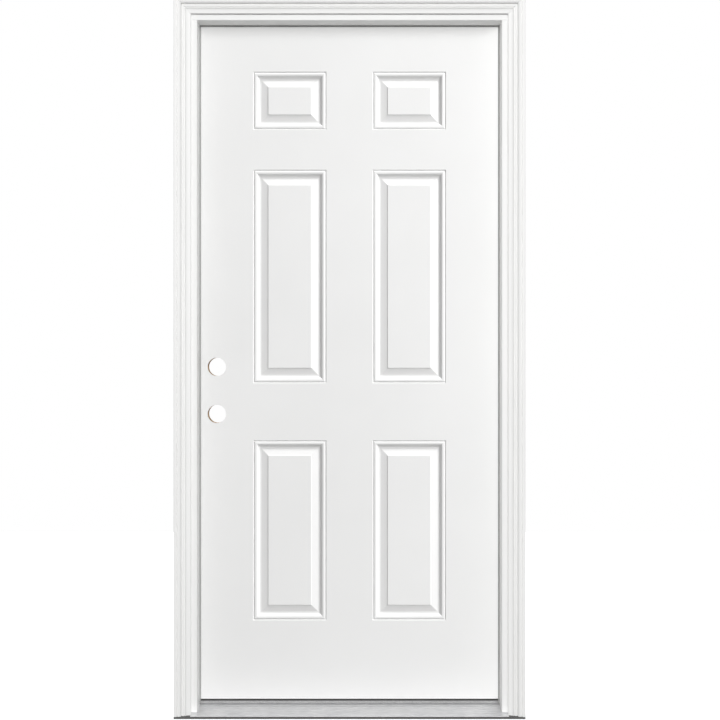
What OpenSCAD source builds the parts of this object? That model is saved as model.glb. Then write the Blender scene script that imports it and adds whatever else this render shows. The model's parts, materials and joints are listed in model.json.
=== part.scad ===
// Pre-hung panelled entry door: a foam-filled steel slab in its own timber frame, opening inwards.
// It hangs on the right and locks on the left, as seen from outside.
// Origin: middle of the sill's underside, on the plane of the jambs' outside edges.
// +X runs to the hinge side, +Y into the house, +Z up. All sizes are in millimetres.

/* [Door slab] */
// Width of the slab
slab_w = 908; // [740:1:1100]
// Height of the slab
slab_h = 2006; // [1660:1:2420]
// Thickness of the slab
slab_t = 44.5; // [36:0.5:46]
// Thickness of each pressed steel skin
skin_t = 0.6; // [0.4:0.1:1]
// How far each skin folds back over the slab's long edges
skin_fold = 9; // [5:0.5:9]
// Width of each timber stile inside the slab's long edges
stile_w = 32; // [26:0.5:32.5]
// Height of the rails inside the slab's top and bottom edges
rail_h = 38; // [28:1:60]

/* [Panel layout] */
// Flat margin between a long edge of the slab and the panels
side_margin = 168; // [130:1:205]
// Flat margin between the two columns of panels
middle_margin = 137; // [100:1:170]
// Flat margin under the lower panels
bottom_margin = 233; // [190:1:285]
// Height of the lower panels
lower_panel_h = 533.5; // [440:0.5:645]
// Flat margin between the lower and the tall panels
lock_margin = 170; // [135:1:210]
// Flat margin between the tall and the top panels
frieze_margin = 119; // [95:1:145]
// Height of the small top panels
top_panel_h = 172; // [140:1:210]
// Flat margin over the top panels
top_margin = 145.5; // [120:0.5:180]

/* [Panel section] */
// Width of the fine groove round each panel
groove_w = 4.2; // [3.4:0.1:5.2]
// Depth of the fine groove
groove_d = 3; // [2:0.1:3.6]
// Distance from a panel's edge to the bottom of its moulding
moulding_w = 21; // [17:0.5:26]
// Depth of the moulding's bottom below the slab's face
moulding_d = 8.4; // [6:0.1:10.5]
// Width of the flat at the moulding's bottom
valley_w = 3; // [2:0.5:5]
// Width of the slope that rises to the raised field
bevel_w = 19.2; // [16:0.1:25]
// Small step at the edge of the raised field
field_step = 2.2; // [1.2:0.1:3]
// Depth of the raised field below the slab's face
field_d = 1; // [0.6:0.1:2]

/* [Lock preparation] */
// Diameter of the two bores across the slab
bore_d = 54; // [44:0.1:54.6]
// Distance from the slab's edge to the bores' centres
backset = 60.3; // [60:0.1:72]
// Height of the lower bore above the slab's bottom
lock_z = 845; // [700:1:1020]
// Distance between the two bores
bore_spacing = 139.7; // [116:0.1:170]
// Diameter of the latch bores in the slab's edge
latch_bore_d = 25.4; // [20:0.1:25.4]
// Height of the faceplate and strike recesses
plate_h = 57.2; // [47:0.1:70]
// Depth of the faceplate recess in the slab's edge
faceplate_recess = 3.2; // [2:0.1:4]
// Width of the strike recess in the jamb
strike_w = 28.6; // [26:0.1:34]
// Depth of the strike recess
strike_recess = 1.6; // [1:0.1:2.5]
// Diameter of the latch's pocket and of the bolt's hole in the jamb
strike_hole_d = 22.2; // [18:0.1:24]
// Depth of the latch's pocket; the bolt's hole goes right through
strike_pocket = 15; // [12:0.5:17]

/* [Frame] */
// Depth of the jambs through the wall
jamb_d = 115.9; // [96:0.1:168]
// Thickness of the jambs at the stop
jamb_t = 31.8; // [31:0.1:38]
// Height of the stop above the rebate that the slab closes into
stop_t = 12.7; // [11:0.1:15]
// Width of the rebate, which takes the slab and the weatherstrip
rebate_w = 49.2; // [48:0.1:59]
// Gap between the slab and the frame at the sides and the top
slab_gap = 3.2; // [2.6:0.1:4]
// Bevel on the stop's edges
stop_ease = 1.5; // [0.5:0.1:2.5]

/* [Weatherstrip] */
// Width of the slot that holds the weatherstrip
kerf_w = 3.2; // [2.6:0.1:4]
// Depth of that slot
kerf_d = 11; // [9:0.5:14]
// Distance of that slot from the rebate's face
kerf_inset = 1.6; // [1.2:0.1:2.2]
// How far the weatherstrip shows past the stop
bulb_reach = 4; // [3:0.1:6]

/* [Brickmould] */
// Width of the brickmould
mould_w = 47.6; // [40:0.1:58]
// Thickness of the brickmould
mould_t = 31.8; // [26:0.1:38]
// Width of jamb edge left showing inside the brickmould
reveal = 17.5; // [14:0.1:21]

/* [Sill] */
// Height of the sill's cap above the floor
sill_h = 28.6; // [26:0.1:38]
// Height of the deck where it meets the cap
deck_back_h = 22; // [19:0.1:24]
// Height of the deck at its outer nose
nose_h = 8.3; // [7.9:0.1:10]
// Thickness of the composite that shows under the nose
base_strip = 5.8; // [4:0.1:6.2]
// Thickness of the aluminium deck
deck_t = 2; // [1.6:0.1:2.4]
// Depth of the cap from front to back
cap_d = 42.7; // [38:0.1:44]
// Gap between the cap and the slab's bottom
sweep_gap = 6.3; // [5:0.1:8]

/* [Hinges] */
// Height of each hinge
hinge_h = 101.6; // [84:0.1:127]
// Width of a leaf on the slab or the jamb
leaf_w = 34; // [28:0.5:34.5]
// Thickness of a leaf
leaf_t = 2.2; // [1.8:0.1:2.8]
// Diameter of the knuckles
barrel_d = 12.7; // [10.6:0.1:15.2]
// Diameter of the pin
pin_d = 7.8; // [6.5:0.1:8.2]
// Distance from the slab's top to the upper hinge's top
hinge_from_top = 178; // [145:1:215]
// Distance from the slab's bottom to the lower hinge's bottom
hinge_from_bottom = 279; // [230:1:335]

/* [Fasteners] */
// Radius of a screw's shank
shank_r = 2; // [1.6:0.1:2.4]
// Radius of a screw's head
head_r = 4.1; // [3.4:0.1:4.2]
// Length of the screws in the jamb's leaves
jamb_screw_l = 17; // [14:0.5:18]
// Length of the screws in the slab's leaves
slab_screw_l = 28; // [23:0.5:30]
// Length of the screws that join the frame's corners
frame_screw_l = 62; // [50:1:75]
// Length of the nails that hold the brickmould
nail_l = 44; // [36:1:54]
// Radius of a nail
nail_r = 0.9; // [0.7:0.1:1.1]

/* [Clearances] */
// Clearance of a fitted piece all round
fit = 0.05; // [0.02:0.01:0.1]
// Clearance of a soft seal from what closes against it
seal_clear = 0.3; // [0.2:0.05:0.5]
// Clearance of the sill's pieces from the jambs
sill_clear = 0.2; // [0.1:0.05:0.5]

/* [Hidden] */
$fn = 48;

// Across: half widths from the middle of the door
slab_x = slab_w / 2;
rebate_x = slab_x + slab_gap;
stop_x = rebate_x - stop_t;
side_t = jamb_t - stop_t;
frame_x = rebate_x + side_t;
mould_x = stop_x + reveal;
outer_x = mould_x + mould_w;

// Through the wall
stop_d = jamb_d - rebate_w;
slab_y = jamb_d - slab_t;
seal_t = rebate_w - slab_t - seal_clear;
nose_d = mould_t;
cap_y = jamb_d - cap_d;

// Upwards
slab_z = sill_h + sweep_gap;
rebate_z = slab_z + slab_h + slab_gap;
stop_z = rebate_z - stop_t;
frame_h = rebate_z + side_t;
mould_z = stop_z + reveal;
outer_z = mould_z + mould_w;

// Panels, in the slab's own frame: x from its middle, z from its bottom, y from its outside face
panel_w = (slab_w - middle_margin) / 2 - side_margin;
tall_panel_z = bottom_margin + lower_panel_h + lock_margin;
top_panel_z = slab_h - top_margin - top_panel_h;
tall_panel_h = top_panel_z - frieze_margin - tall_panel_z;
PANEL_ROWS = [
    [bottom_margin, lower_panel_h],
    [tall_panel_z, tall_panel_h],
    [top_panel_z, top_panel_h]
];
field_inset = moulding_w + valley_w + bevel_w + field_step;
groove_wall = groove_w * 0.38;
shoulder_w = 2.2;
shoulder_d = groove_d * 0.3;
lip_w = 5.6;
lip_d = 0.25;
curve_steps = 8;
over = 5;

// Lock preparation
bore_x = -slab_x + backset;
BORE_HEIGHTS = [lock_z, lock_z + bore_spacing];
STRIKE_DEPTHS = [strike_pocket, frame_x - rebate_x + over];
block_w = 90;
block_margin = 75;
latch_y = slab_t / 2;

// Hinges
barrel_r = barrel_d / 2;
pin_r = pin_d / 2;
knuckle_face_gap = 0.5;
axis_x = slab_x + slab_gap / 2;
axis_y = jamb_d + barrel_r + knuckle_face_gap;
knuckles = 5;
knuckle_gap = 0.4;
knuckle_h = (hinge_h - (knuckles - 1) * knuckle_gap) / knuckles;
leaf_corner_r = 9.5;
upper_hinge_z = slab_z + slab_h - hinge_from_top - hinge_h / 2;
lower_hinge_z = slab_z + hinge_from_bottom + hinge_h / 2;
HINGE_HEIGHTS = [upper_hinge_z, (upper_hinge_z + lower_hinge_z) / 2, lower_hinge_z];
// Each screw's distance from the leaf's free edge, and its height as a share of half the leaf
LEAF_SCREWS = [[22, 0.76], [11, 0.28], [22, -0.28], [11, -0.76]];

// Fasteners
screw_tip = 4;
drive_slot = 1;
nail_head_r = 1.6;
nail_head_h = 1;
nail_cover = 2.5;
nail_inset = 8;
nails_per_leg = 7;
nails_in_head = 4;
nail_end_margin = 150;
FRAME_SCREWS = [
    [jamb_d * 0.16, stop_z + jamb_t / 2],
    [jamb_d * 0.4, stop_z + jamb_t / 2],
    [jamb_d * 0.8, rebate_z + side_t / 2]
];
SILL_SCREWS = [[jamb_d * 0.22, 7.5], [jamb_d * 0.8, 7.5]];

// Sill
flutes = 5;
flute_pitch = 16;
flute_d = 0.9;
flute_start = -17;
flute_steps = 6;
nose_bevel = 1.5;
cap_seat = deck_back_h - 8;
cap_bevel = 2;
cap_back_drop = 5;
cap_back_w = 7;
pad_t = 2.2;
pad_w = 12;
pad_h = 57;
fin_t = 1.2;
fins = 3;
sweep_t = 1.6;
sweep_barb = 8;
sweep_barb_w = 2.4;

// ---------- Shared shapes ----------

// Extrudes an outline of (Y, Z) points along X, centred on the door's middle
module along_x(length) {
    rotate([90, 0, 90])
        translate([0, 0, -length / 2])
            linear_extrude(length) children();
}

// Places children in the slab's own frame
module in_slab() {
    translate([0, slab_y, slab_z]) children();
}

// Repeats children on both sides of the door
module both_sides() {
    children();
    mirror([1, 0, 0]) children();
}

// A countersunk wood screw with its head face at z = 0, pointing down
module screw(length) {
    difference() {
        rotate_extrude() polygon([
            [0, 0], [head_r, 0], [shank_r, shank_r - head_r],
            [shank_r, screw_tip - length], [0, -length]
        ]);
        for (turn = [0, 90]) {
            rotate([0, 0, turn]) cube([head_r * 1.15, drive_slot, head_r * 0.8], center = true);
        }
    }
}

// The hole that such a screw fills, open at its head
module screw_hole(length) {
    rotate_extrude() polygon([
        [0, over], [head_r + fit, over], [head_r + fit, -fit], [shank_r + fit, shank_r - head_r - fit],
        [shank_r + fit, screw_tip - length - fit], [0, -length - fit]
    ]);
}

// ---------- Jambs ----------

// Section of a jamb: u is measured outwards from the rebate's face, y through the wall
JAMB_SECTION = [
    [stop_ease - stop_t, 0], [side_t, 0], [side_t, jamb_d], [0, jamb_d], [0, stop_d],
    [-kerf_inset, stop_d], [-kerf_inset, stop_d - kerf_d],
    [-kerf_inset - kerf_w, stop_d - kerf_d], [-kerf_inset - kerf_w, stop_d],
    [stop_ease - stop_t, stop_d], [-stop_t, stop_d - stop_ease], [-stop_t, stop_ease]
];

// A side jamb on the right, with the shoulder that the head jamb rests on
module side_jamb() {
    difference() {
        translate([rebate_x, 0, 0]) linear_extrude(frame_h) polygon(JAMB_SECTION);
        translate([stop_x - over, -over, stop_z]) cube([stop_t + over, stop_d + 2 * over, frame_h]);
        frame_screw_places() screw_hole(frame_screw_l);
        sill_screw_places() screw_hole(frame_screw_l);
        leg_nail_places() nail_hole();
    }
}

module hinge_jamb() {
    color("whitesmoke") difference() {
        side_jamb();
        for (z = HINGE_HEIGHTS) {
            translate([0, 0, z]) {
                translate([rebate_x - over, 0, 0]) leaf_plate(over + leaf_t, jamb_d - leaf_w, jamb_d + over, fit);
                jamb_screw_places() screw_hole(jamb_screw_l);
            }
        }
    }
}

module latch_jamb() {
    color("whitesmoke") difference() {
        mirror([1, 0, 0]) side_jamb();
        for (i = [0, 1]) {
            translate([-rebate_x, slab_y + latch_y, slab_z + BORE_HEIGHTS[i]]) {
                cube([2 * strike_recess, strike_w, plate_h], center = true);
                rotate([0, 90, 0]) cylinder(h = 2 * STRIKE_DEPTHS[i], d = strike_hole_d, center = true);
            }
        }
    }
}

module head_jamb() {
    color("whitesmoke") difference() {
        translate([0, 0, rebate_z])
            along_x(2 * rebate_x) polygon([for (p = JAMB_SECTION) [p[1], p[0]]]);
        both_sides() frame_screw_places() screw_hole(frame_screw_l);
        head_nail_places() nail_hole();
    }
}

// ---------- Frame fasteners ----------

module frame_screw_places() {
    for (p = FRAME_SCREWS) {
        translate([frame_x, p[0], p[1]]) rotate([0, 90, 0]) children();
    }
}

module sill_screw_places() {
    for (p = SILL_SCREWS) {
        translate([frame_x, p[0], p[1]]) rotate([0, 90, 0]) children();
    }
}

module frame_corner_screws() {
    color("silver") both_sides() frame_screw_places() screw(frame_screw_l);
}

module sill_corner_screws() {
    color("silver") both_sides() sill_screw_places() screw(frame_screw_l);
}

// The brickmould's thickness where the nails go
function nail_top() = mould_t * 0.35 - nail_cover;

module leg_nail_places() {
    step = (stop_z - 2 * nail_end_margin) / (nails_per_leg - 1);
    for (i = [0 : nails_per_leg - 1]) {
        translate([mould_x + nail_inset, -nail_top(), nail_end_margin + i * step])
            rotate([90, 0, 0]) children();
    }
}

module head_nail_places() {
    step = 2 * (stop_x - nail_end_margin) / (nails_in_head - 1);
    for (i = [0 : nails_in_head - 1]) {
        translate([nail_end_margin - stop_x + i * step, -nail_top(), mould_z + nail_inset])
            rotate([90, 0, 0]) children();
    }
}

// A finishing nail with the top of its head at z = 0, pointing down
module nail() {
    translate([0, 0, -nail_head_h]) cylinder(h = nail_head_h, r = nail_head_r);
    translate([0, 0, -nail_l]) cylinder(h = nail_l - nail_head_h / 2, r = nail_r);
}

module nail_hole() {
    translate([0, 0, -nail_head_h - fit]) cylinder(h = nail_head_h + 2 * fit, r = nail_head_r + fit);
    translate([0, 0, -nail_l - fit]) cylinder(h = nail_l, r = nail_r + fit);
}

module brickmould_nails() {
    color("silver") {
        both_sides() leg_nail_places() nail();
        head_nail_places() nail();
    }
}

// ---------- Brickmould ----------

// Points on a quarter turn from angle a to angle b about (cx, cy), with its own radius each way
function arc(cx, cy, rx, ry, a, b, steps) =
    [for (i = [0 : steps]) [cx + rx * cos(a + (b - a) * i / steps), cy + ry * sin(a + (b - a) * i / steps)]];

// Section: v runs from the inner edge to the outer edge, y is negative towards the outside
MOULD_SECTION = concat(
    [[0, 0], [0, -mould_t * 0.36]],
    arc(0, -mould_t * 0.57, mould_w * 0.31, mould_t * 0.19, 78, 0, 5),
    [[mould_w * 0.33, -mould_t * 0.6], [mould_w * 0.5, -mould_t * 0.63], [mould_w * 0.52, -mould_t * 0.68]],
    arc(mould_w * 0.79, -mould_t * 0.68, mould_w * 0.25, mould_t * 0.25, 180, 270, 6),
    [[mould_w * 0.81, -mould_t], [mould_w * 0.97, -mould_t], [mould_w, -mould_t * 0.96], [mould_w, 0]]
);

// A brickmould leg on the right, standing on the sill and mitred at the top
module brickmould_leg() {
    difference() {
        translate([mould_x, 0, base_strip])
            linear_extrude(outer_z - base_strip) polygon(MOULD_SECTION);
        translate([mould_x, -mould_t - over, mould_z])
            rotate([0, -45, 0])
                translate([-over, 0, 0]) cube([3 * mould_w, mould_t + 2 * over, 3 * mould_w]);
        leg_nail_places() nail_hole();
    }
}

module brickmould_right() {
    color("white") brickmould_leg();
}

module brickmould_left() {
    color("white") mirror([1, 0, 0]) brickmould_leg();
}

module brickmould_head() {
    color("white") difference() {
        translate([0, 0, mould_z])
            along_x(2 * outer_x) polygon([for (p = MOULD_SECTION) [p[1], p[0]]]);
        both_sides()
            translate([mould_x, -mould_t - over, mould_z])
                rotate([0, 45, 0])
                    translate([0, 0, -over]) cube([3 * mould_w, mould_t + 2 * over, 3 * mould_w]);
        head_nail_places() nail_hole();
    }
}

// ---------- Weatherstrip ----------

// Section in the jamb's u and y: a barbed stem in the kerf and a soft leaf over the stop
STRIP_SECTION = concat(
    [
        [-fit, stop_d], [-fit, stop_d + seal_t],
        [seal_t / 2 - stop_t - bulb_reach, stop_d + seal_t]
    ],
    arc(seal_t / 2 - stop_t - bulb_reach, stop_d + seal_t / 2, seal_t / 2, seal_t / 2, 110, 250, 7),
    [
        [seal_t / 2 - stop_t - bulb_reach, stop_d],
        [-kerf_inset - kerf_w + fit, stop_d], [-kerf_inset - kerf_w + 5 * fit, stop_d - kerf_d * 0.3],
        [-kerf_inset - kerf_w + fit, stop_d - kerf_d * 0.5], [-kerf_inset - kerf_w * 0.6, stop_d - kerf_d * 0.9],
        [-kerf_inset - kerf_w * 0.4, stop_d - kerf_d * 0.9], [-kerf_inset - fit, stop_d - kerf_d * 0.5],
        [-kerf_inset - 5 * fit, stop_d - kerf_d * 0.3], [-kerf_inset - fit, stop_d]
    ]
);

module side_strip() {
    translate([rebate_x, 0, deck_back_h + seal_clear])
        linear_extrude(stop_z - bulb_reach - deck_back_h - 2 * seal_clear) polygon(STRIP_SECTION);
}

module weatherstrip_hinge() {
    color("dimgray") side_strip();
}

module weatherstrip_latch() {
    color("dimgray") mirror([1, 0, 0]) side_strip();
}

module weatherstrip_head() {
    color("dimgray") translate([0, 0, rebate_z])
        along_x(2 * (rebate_x - seal_clear)) polygon([for (p = STRIP_SECTION) [p[1], p[0]]]);
}

// Foam pads that close the bottom corners behind the weatherstrip
module corner_pads() {
    color("dimgray") both_sides()
        translate([rebate_x - pad_t, slab_y + fit, sill_h + seal_clear]) cube([pad_t, pad_w, pad_h]);
}

// ---------- Sill ----------

// Height of the deck's plain top at y, without its flutes
function deck_z(y) = nose_h + (deck_back_h - nose_h) * (y + nose_d) / (cap_y + nose_d);

DECK_SECTION = concat(
    [[-nose_d + deck_t, base_strip], [-nose_d, base_strip], [-nose_d, deck_z(-nose_d) - nose_bevel]],
    [[-nose_d + nose_bevel, deck_z(-nose_d + nose_bevel)]],
    [
        for (i = [0 : flutes - 1], j = [0 : flute_steps])
            let (y = flute_start + (i + 0.1 + 0.8 * j / flute_steps) * flute_pitch)
                [y, deck_z(y) - flute_d * pow(sin(180 * j / flute_steps), 2)]
    ],
    [[cap_y, deck_z(cap_y)], [cap_y, deck_z(cap_y) - deck_t], [-nose_d + deck_t, deck_z(-nose_d + deck_t) - deck_t]]
);

BASE_SECTION = [
    [-nose_d, 0], [-nose_d, base_strip], [-nose_d + deck_t, base_strip],
    [-nose_d + deck_t, deck_z(-nose_d + deck_t) - deck_t], [cap_y, deck_z(cap_y) - deck_t],
    [cap_y, cap_seat], [jamb_d, cap_seat], [jamb_d, 0]
];

CAP_SECTION = [
    [cap_y, cap_seat], [cap_y, sill_h - cap_bevel], [cap_y + cap_bevel, sill_h],
    [jamb_d - cap_back_w, sill_h], [jamb_d, sill_h - cap_back_drop], [jamb_d, cap_seat]
];

module sill_base() {
    color("slategray") difference() {
        along_x(2 * outer_x) polygon(BASE_SECTION);
        both_sides() {
            translate([mould_x - sill_clear, -nose_d - over, base_strip])
                cube([mould_w + over, nose_d + over, sill_h]);
            translate([stop_x - sill_clear, 0, -over]) cube([outer_x, stop_d, sill_h + over]);
            translate([rebate_x - sill_clear, stop_d - over, -over]) cube([outer_x, jamb_d, sill_h + over]);
            sill_screw_places() screw_hole(frame_screw_l);
        }
    }
}

module sill_deck() {
    color("silver") difference() {
        along_x(2 * (mould_x - sill_clear)) polygon(DECK_SECTION);
        both_sides()
            translate([stop_x - sill_clear, 0, 0]) cube([outer_x, jamb_d, sill_h]);
    }
}

module sill_cap() {
    color("gray") along_x(2 * (rebate_x - sill_clear)) polygon(CAP_SECTION);
}

// ---------- Hinges ----------

// A leaf's flat plate, standing in Y and Z and thick towards +X, with its far corners rounded
module leaf_plate(thickness, y_free, y_pin, grow) {
    r = leaf_corner_r;
    h = hinge_h + 2 * grow;
    rotate([90, 0, 90]) linear_extrude(thickness) {
        translate([y_free - grow + r, -h / 2]) square([y_pin - y_free + grow - r, h]);
        translate([y_free - grow, r - h / 2]) square([r, h - 2 * r]);
        for (side = [-1, 1]) {
            translate([y_free - grow + r, side * (h / 2 - r)]) circle(r);
        }
    }
}

// Knuckles number first, first + 2 and so on, each with the web that joins it to its leaf
module knuckle_row(first, web_x) {
    for (i = [first : 2 : knuckles - 1]) {
        translate([0, 0, i * (knuckle_h + knuckle_gap) - hinge_h / 2]) {
            translate([axis_x, axis_y, 0]) cylinder(h = knuckle_h, r = barrel_r);
            translate([web_x, jamb_d - knuckle_face_gap, 0])
                cube([leaf_t, axis_y - jamb_d + knuckle_face_gap, knuckle_h]);
        }
    }
}

module pin_bore() {
    translate([axis_x, axis_y, -hinge_h]) cylinder(h = 2 * hinge_h, r = pin_r + fit);
}

module jamb_screw_places() {
    for (p = LEAF_SCREWS) {
        translate([rebate_x, jamb_d - leaf_w + p[0], p[1] * hinge_h / 2]) rotate([0, -90, 0]) children();
    }
}

module slab_screw_places() {
    for (p = LEAF_SCREWS) {
        translate([slab_x, jamb_d - leaf_w + p[0], p[1] * hinge_h / 2]) rotate([0, 90, 0]) children();
    }
}

module jamb_leaf(i) {
    color("silver") translate([0, 0, HINGE_HEIGHTS[i]]) difference() {
        union() {
            translate([rebate_x, 0, 0]) leaf_plate(leaf_t, jamb_d - leaf_w, jamb_d, 0);
            knuckle_row(0, rebate_x);
        }
        pin_bore();
        jamb_screw_places() screw_hole(jamb_screw_l);
    }
}

module door_leaf(i) {
    color("silver") translate([0, 0, HINGE_HEIGHTS[i]]) difference() {
        union() {
            translate([slab_x - leaf_t, 0, 0]) leaf_plate(leaf_t, jamb_d - leaf_w, jamb_d, 0);
            knuckle_row(1, slab_x - leaf_t);
        }
        pin_bore();
        slab_screw_places() screw_hole(slab_screw_l);
    }
}

// A loose pin with a button head that rests on the top knuckle
module hinge_pin(i) {
    button_r = barrel_r * 0.86;
    color("silver") translate([axis_x, axis_y, HINGE_HEIGHTS[i]])
        rotate_extrude() polygon([
            [0, -hinge_h / 2 - 1.5], [pin_r - 1, -hinge_h / 2 - 1.5], [pin_r, -hinge_h / 2 - 0.5],
            [pin_r, hinge_h / 2], [button_r, hinge_h / 2], [button_r, hinge_h / 2 + 1.6],
            [button_r * 0.6, hinge_h / 2 + 3], [0, hinge_h / 2 + 3.2]
        ]);
}

module jamb_leaf_screws() {
    color("silver") for (z = HINGE_HEIGHTS) {
        translate([0, 0, z]) jamb_screw_places() screw(jamb_screw_l);
    }
}

module door_leaf_screws() {
    color("silver") for (z = HINGE_HEIGHTS) {
        translate([0, 0, z]) slab_screw_places() screw(slab_screw_l);
    }
}

// The room that the slab's three leaves take in its hinge edge
module slab_leaf_recesses() {
    for (z = HINGE_HEIGHTS) {
        translate([0, 0, z]) {
            translate([slab_x - leaf_t - fit, 0, 0]) leaf_plate(leaf_t + over, jamb_d - leaf_w, jamb_d + over, fit);
            slab_screw_places() screw_hole(slab_screw_l);
        }
    }
}

// ---------- Panel pressings ----------

// Depth of the pressed moulding, in points from the panel's edge (d) to its bottom
MOULDING_CURVE = concat(
    [[groove_w, 0]],
    [
        for (i = [0 : curve_steps])
            let (s = i / curve_steps)
                [
                    groove_w + lip_w + s * (moulding_w - groove_w - lip_w),
                    lip_d + (moulding_d - lip_d) * (1 - cos(180 * s)) / 2
                ]
    ]
);

// The solid under a line that rises from both edges of a span: pts are (d, depth), top is its other side
function hollow_outline(span, pts, top, sink) = concat(
    [[pts[0][0], top]],
    [for (p = pts) [p[0], p[1] + sink]],
    [for (i = [len(pts) - 1 : -1 : 0]) [span - pts[i][0], pts[i][1] + sink]],
    [[span - pts[0][0], top]]
);

// A hollow whose four sides share one section and meet in mitres
module mitred_hollow(w, h, pts, top, sink) {
    intersection() {
        linear_extrude(h) polygon(hollow_outline(w, pts, top, sink));
        translate([w, 0, 0]) rotate([0, -90, 0]) linear_extrude(w)
            polygon([for (p = hollow_outline(h, pts, top, sink)) [p[0], p[1]]]);
    }
}

// The fine groove round a panel, as a closed ring
module groove_ring(w, h, top, sink) {
    difference() {
        mitred_hollow(w, h, [[0, 0], [groove_wall, groove_d]], top, sink);
        mitred_hollow(
            w, h,
            [
                [groove_w - groove_wall, groove_d], [groove_w, shoulder_d], [groove_w + shoulder_w, 0],
                [groove_w + shoulder_w + 0.01, -over]
            ],
            over * 3, sink
        );
    }
}

// The moulding and the raised field inside the groove
module field_hollow(w, h, top, sink) {
    bevel_start = moulding_w + valley_w;
    difference() {
        mitred_hollow(w, h, MOULDING_CURVE, top, sink);
        mitred_hollow(
            w, h,
            [
                [bevel_start, moulding_d], [bevel_start + bevel_w, field_d + field_step],
                [field_inset, field_d]
            ],
            over * 3, sink
        );
    }
}

// All the hollows of one face, with its outside at y = 0, sunk by a thickness, and open to y = top
module face_hollows(top, sink) {
    for (row = PANEL_ROWS, side = [-1, 1]) {
        translate([side * (middle_margin + panel_w) / 2 - panel_w / 2, 0, row[0]]) {
            groove_ring(panel_w, row[1], top, sink);
            field_hollow(panel_w, row[1], top, sink);
        }
    }
}

module lock_bores() {
    for (z = BORE_HEIGHTS) {
        translate([bore_x, -over, z]) rotate([-90, 0, 0]) cylinder(h = slab_t + 2 * over, d = bore_d);
    }
}

// One skin with its outside at y = 0, pressed and folded back over the long edges
module skin() {
    difference() {
        union() {
            translate([-slab_x, 0, 0]) cube([slab_w, skin_t, slab_h]);
            face_hollows(skin_t / 2, skin_t);
            both_sides() translate([slab_x - skin_t, 0, 0]) cube([skin_t, skin_fold, slab_h]);
        }
        face_hollows(-over, 0);
        lock_bores();
    }
}

module exterior_skin() {
    color("white") in_slab() skin();
}

module interior_skin() {
    color("white") difference() {
        in_slab() translate([0, slab_t, 0]) mirror([0, 1, 0]) skin();
        slab_leaf_recesses();
    }
}

// ---------- Inside the slab ----------

// A stile along the left edge, rebated for the folds of both skins
module stile() {
    difference() {
        translate([-slab_x, skin_t, 0]) cube([stile_w, slab_t - 2 * skin_t, slab_h]);
        for (y = [-over, slab_t - skin_fold]) {
            translate([-slab_x - over, y, -over]) cube([skin_t + over, skin_fold + over, slab_h + 2 * over]);
        }
    }
}

module latch_bores() {
    for (z = BORE_HEIGHTS) {
        translate([-slab_x, latch_y, z]) {
            cube([2 * faceplate_recess, latch_bore_d, plate_h], center = true);
            rotate([0, 90, 0]) cylinder(h = backset, d = latch_bore_d);
        }
    }
}

module lock_stile() {
    color("burlywood") in_slab() difference() {
        stile();
        latch_bores();
    }
}

module hinge_stile() {
    color("burlywood") difference() {
        in_slab() mirror([1, 0, 0]) stile();
        slab_leaf_recesses();
    }
}

// The room of the lock block, beside the lock stile
module block_space() {
    translate([-slab_x + stile_w, skin_t, lock_z - block_margin])
        cube([block_w, slab_t - 2 * skin_t, bore_spacing + 2 * block_margin]);
}

module lock_block() {
    color("tan") in_slab() difference() {
        block_space();
        lock_bores();
        latch_bores();
    }
}

module rail(z) {
    translate([-slab_x + stile_w, skin_t, z]) cube([slab_w - 2 * stile_w, slab_t - 2 * skin_t, rail_h]);
}

module top_rail() {
    color("burlywood") in_slab() rail(slab_h - rail_h);
}

// The fins' places through the slab's thickness
function fin_y(i) = slab_t * (0.3 + 0.2 * i);

module sweep_barbs(grow) {
    for (i = [0, fins - 1]) {
        translate([-slab_x + stile_w - grow, fin_y(i) - sweep_barb_w / 2 - grow, -over * grow])
            cube([slab_w - 2 * stile_w + 2 * grow, sweep_barb_w + 2 * grow, sweep_barb + (1 + over) * grow]);
    }
}

module bottom_rail() {
    color("slategray") in_slab() difference() {
        rail(0);
        sweep_barbs(fit);
    }
}

module foam_core() {
    color("khaki") in_slab() difference() {
        translate([-slab_x + stile_w, skin_t, rail_h])
            cube([slab_w - 2 * stile_w, slab_t - 2 * skin_t, slab_h - 2 * rail_h]);
        face_hollows(-over, skin_t);
        translate([0, slab_t, 0]) mirror([0, 1, 0]) face_hollows(-over, skin_t);
        block_space();
    }
}

// A soft strip under the slab whose fins close on the sill's cap
module door_sweep() {
    color("dimgray") in_slab() {
        translate([-slab_x, skin_t, -sweep_t]) cube([slab_w, slab_t - 2 * skin_t, sweep_t]);
        for (i = [0 : fins - 1]) {
            translate([-slab_x, fin_y(i) - fin_t / 2, seal_clear - sweep_gap])
                cube([slab_w, fin_t, sweep_gap - seal_clear]);
        }
        sweep_barbs(0);
    }
}

// ---------- The nodes ----------

hinge_jamb();
latch_jamb();
head_jamb();
frame_corner_screws();
sill_corner_screws();
brickmould_left();
brickmould_right();
brickmould_head();
brickmould_nails();
weatherstrip_latch();
weatherstrip_hinge();
weatherstrip_head();
corner_pads();
sill_base();
sill_deck();
sill_cap();
jamb_leaf(0);  // upper_jamb_leaf
jamb_leaf(1);  // middle_jamb_leaf
jamb_leaf(2);  // lower_jamb_leaf
jamb_leaf_screws();
hinge_pin(0);  // upper_hinge_pin
hinge_pin(1);  // middle_hinge_pin
hinge_pin(2);  // lower_hinge_pin
exterior_skin();
interior_skin();
foam_core();
lock_stile();
hinge_stile();
lock_block();
top_rail();
bottom_rail();
door_sweep();
door_leaf(0);  // upper_door_leaf
door_leaf(1);  // middle_door_leaf
door_leaf(2);  // lower_door_leaf
door_leaf_screws();
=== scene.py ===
"""A hung entry door: a pressed steel slab in a timber frame, with seals, sill and hinges."""

import json
import logging
import math
from collections.abc import Callable, Iterator, Sequence
from contextlib import contextmanager
from dataclasses import dataclass, field
from enum import Enum

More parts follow.
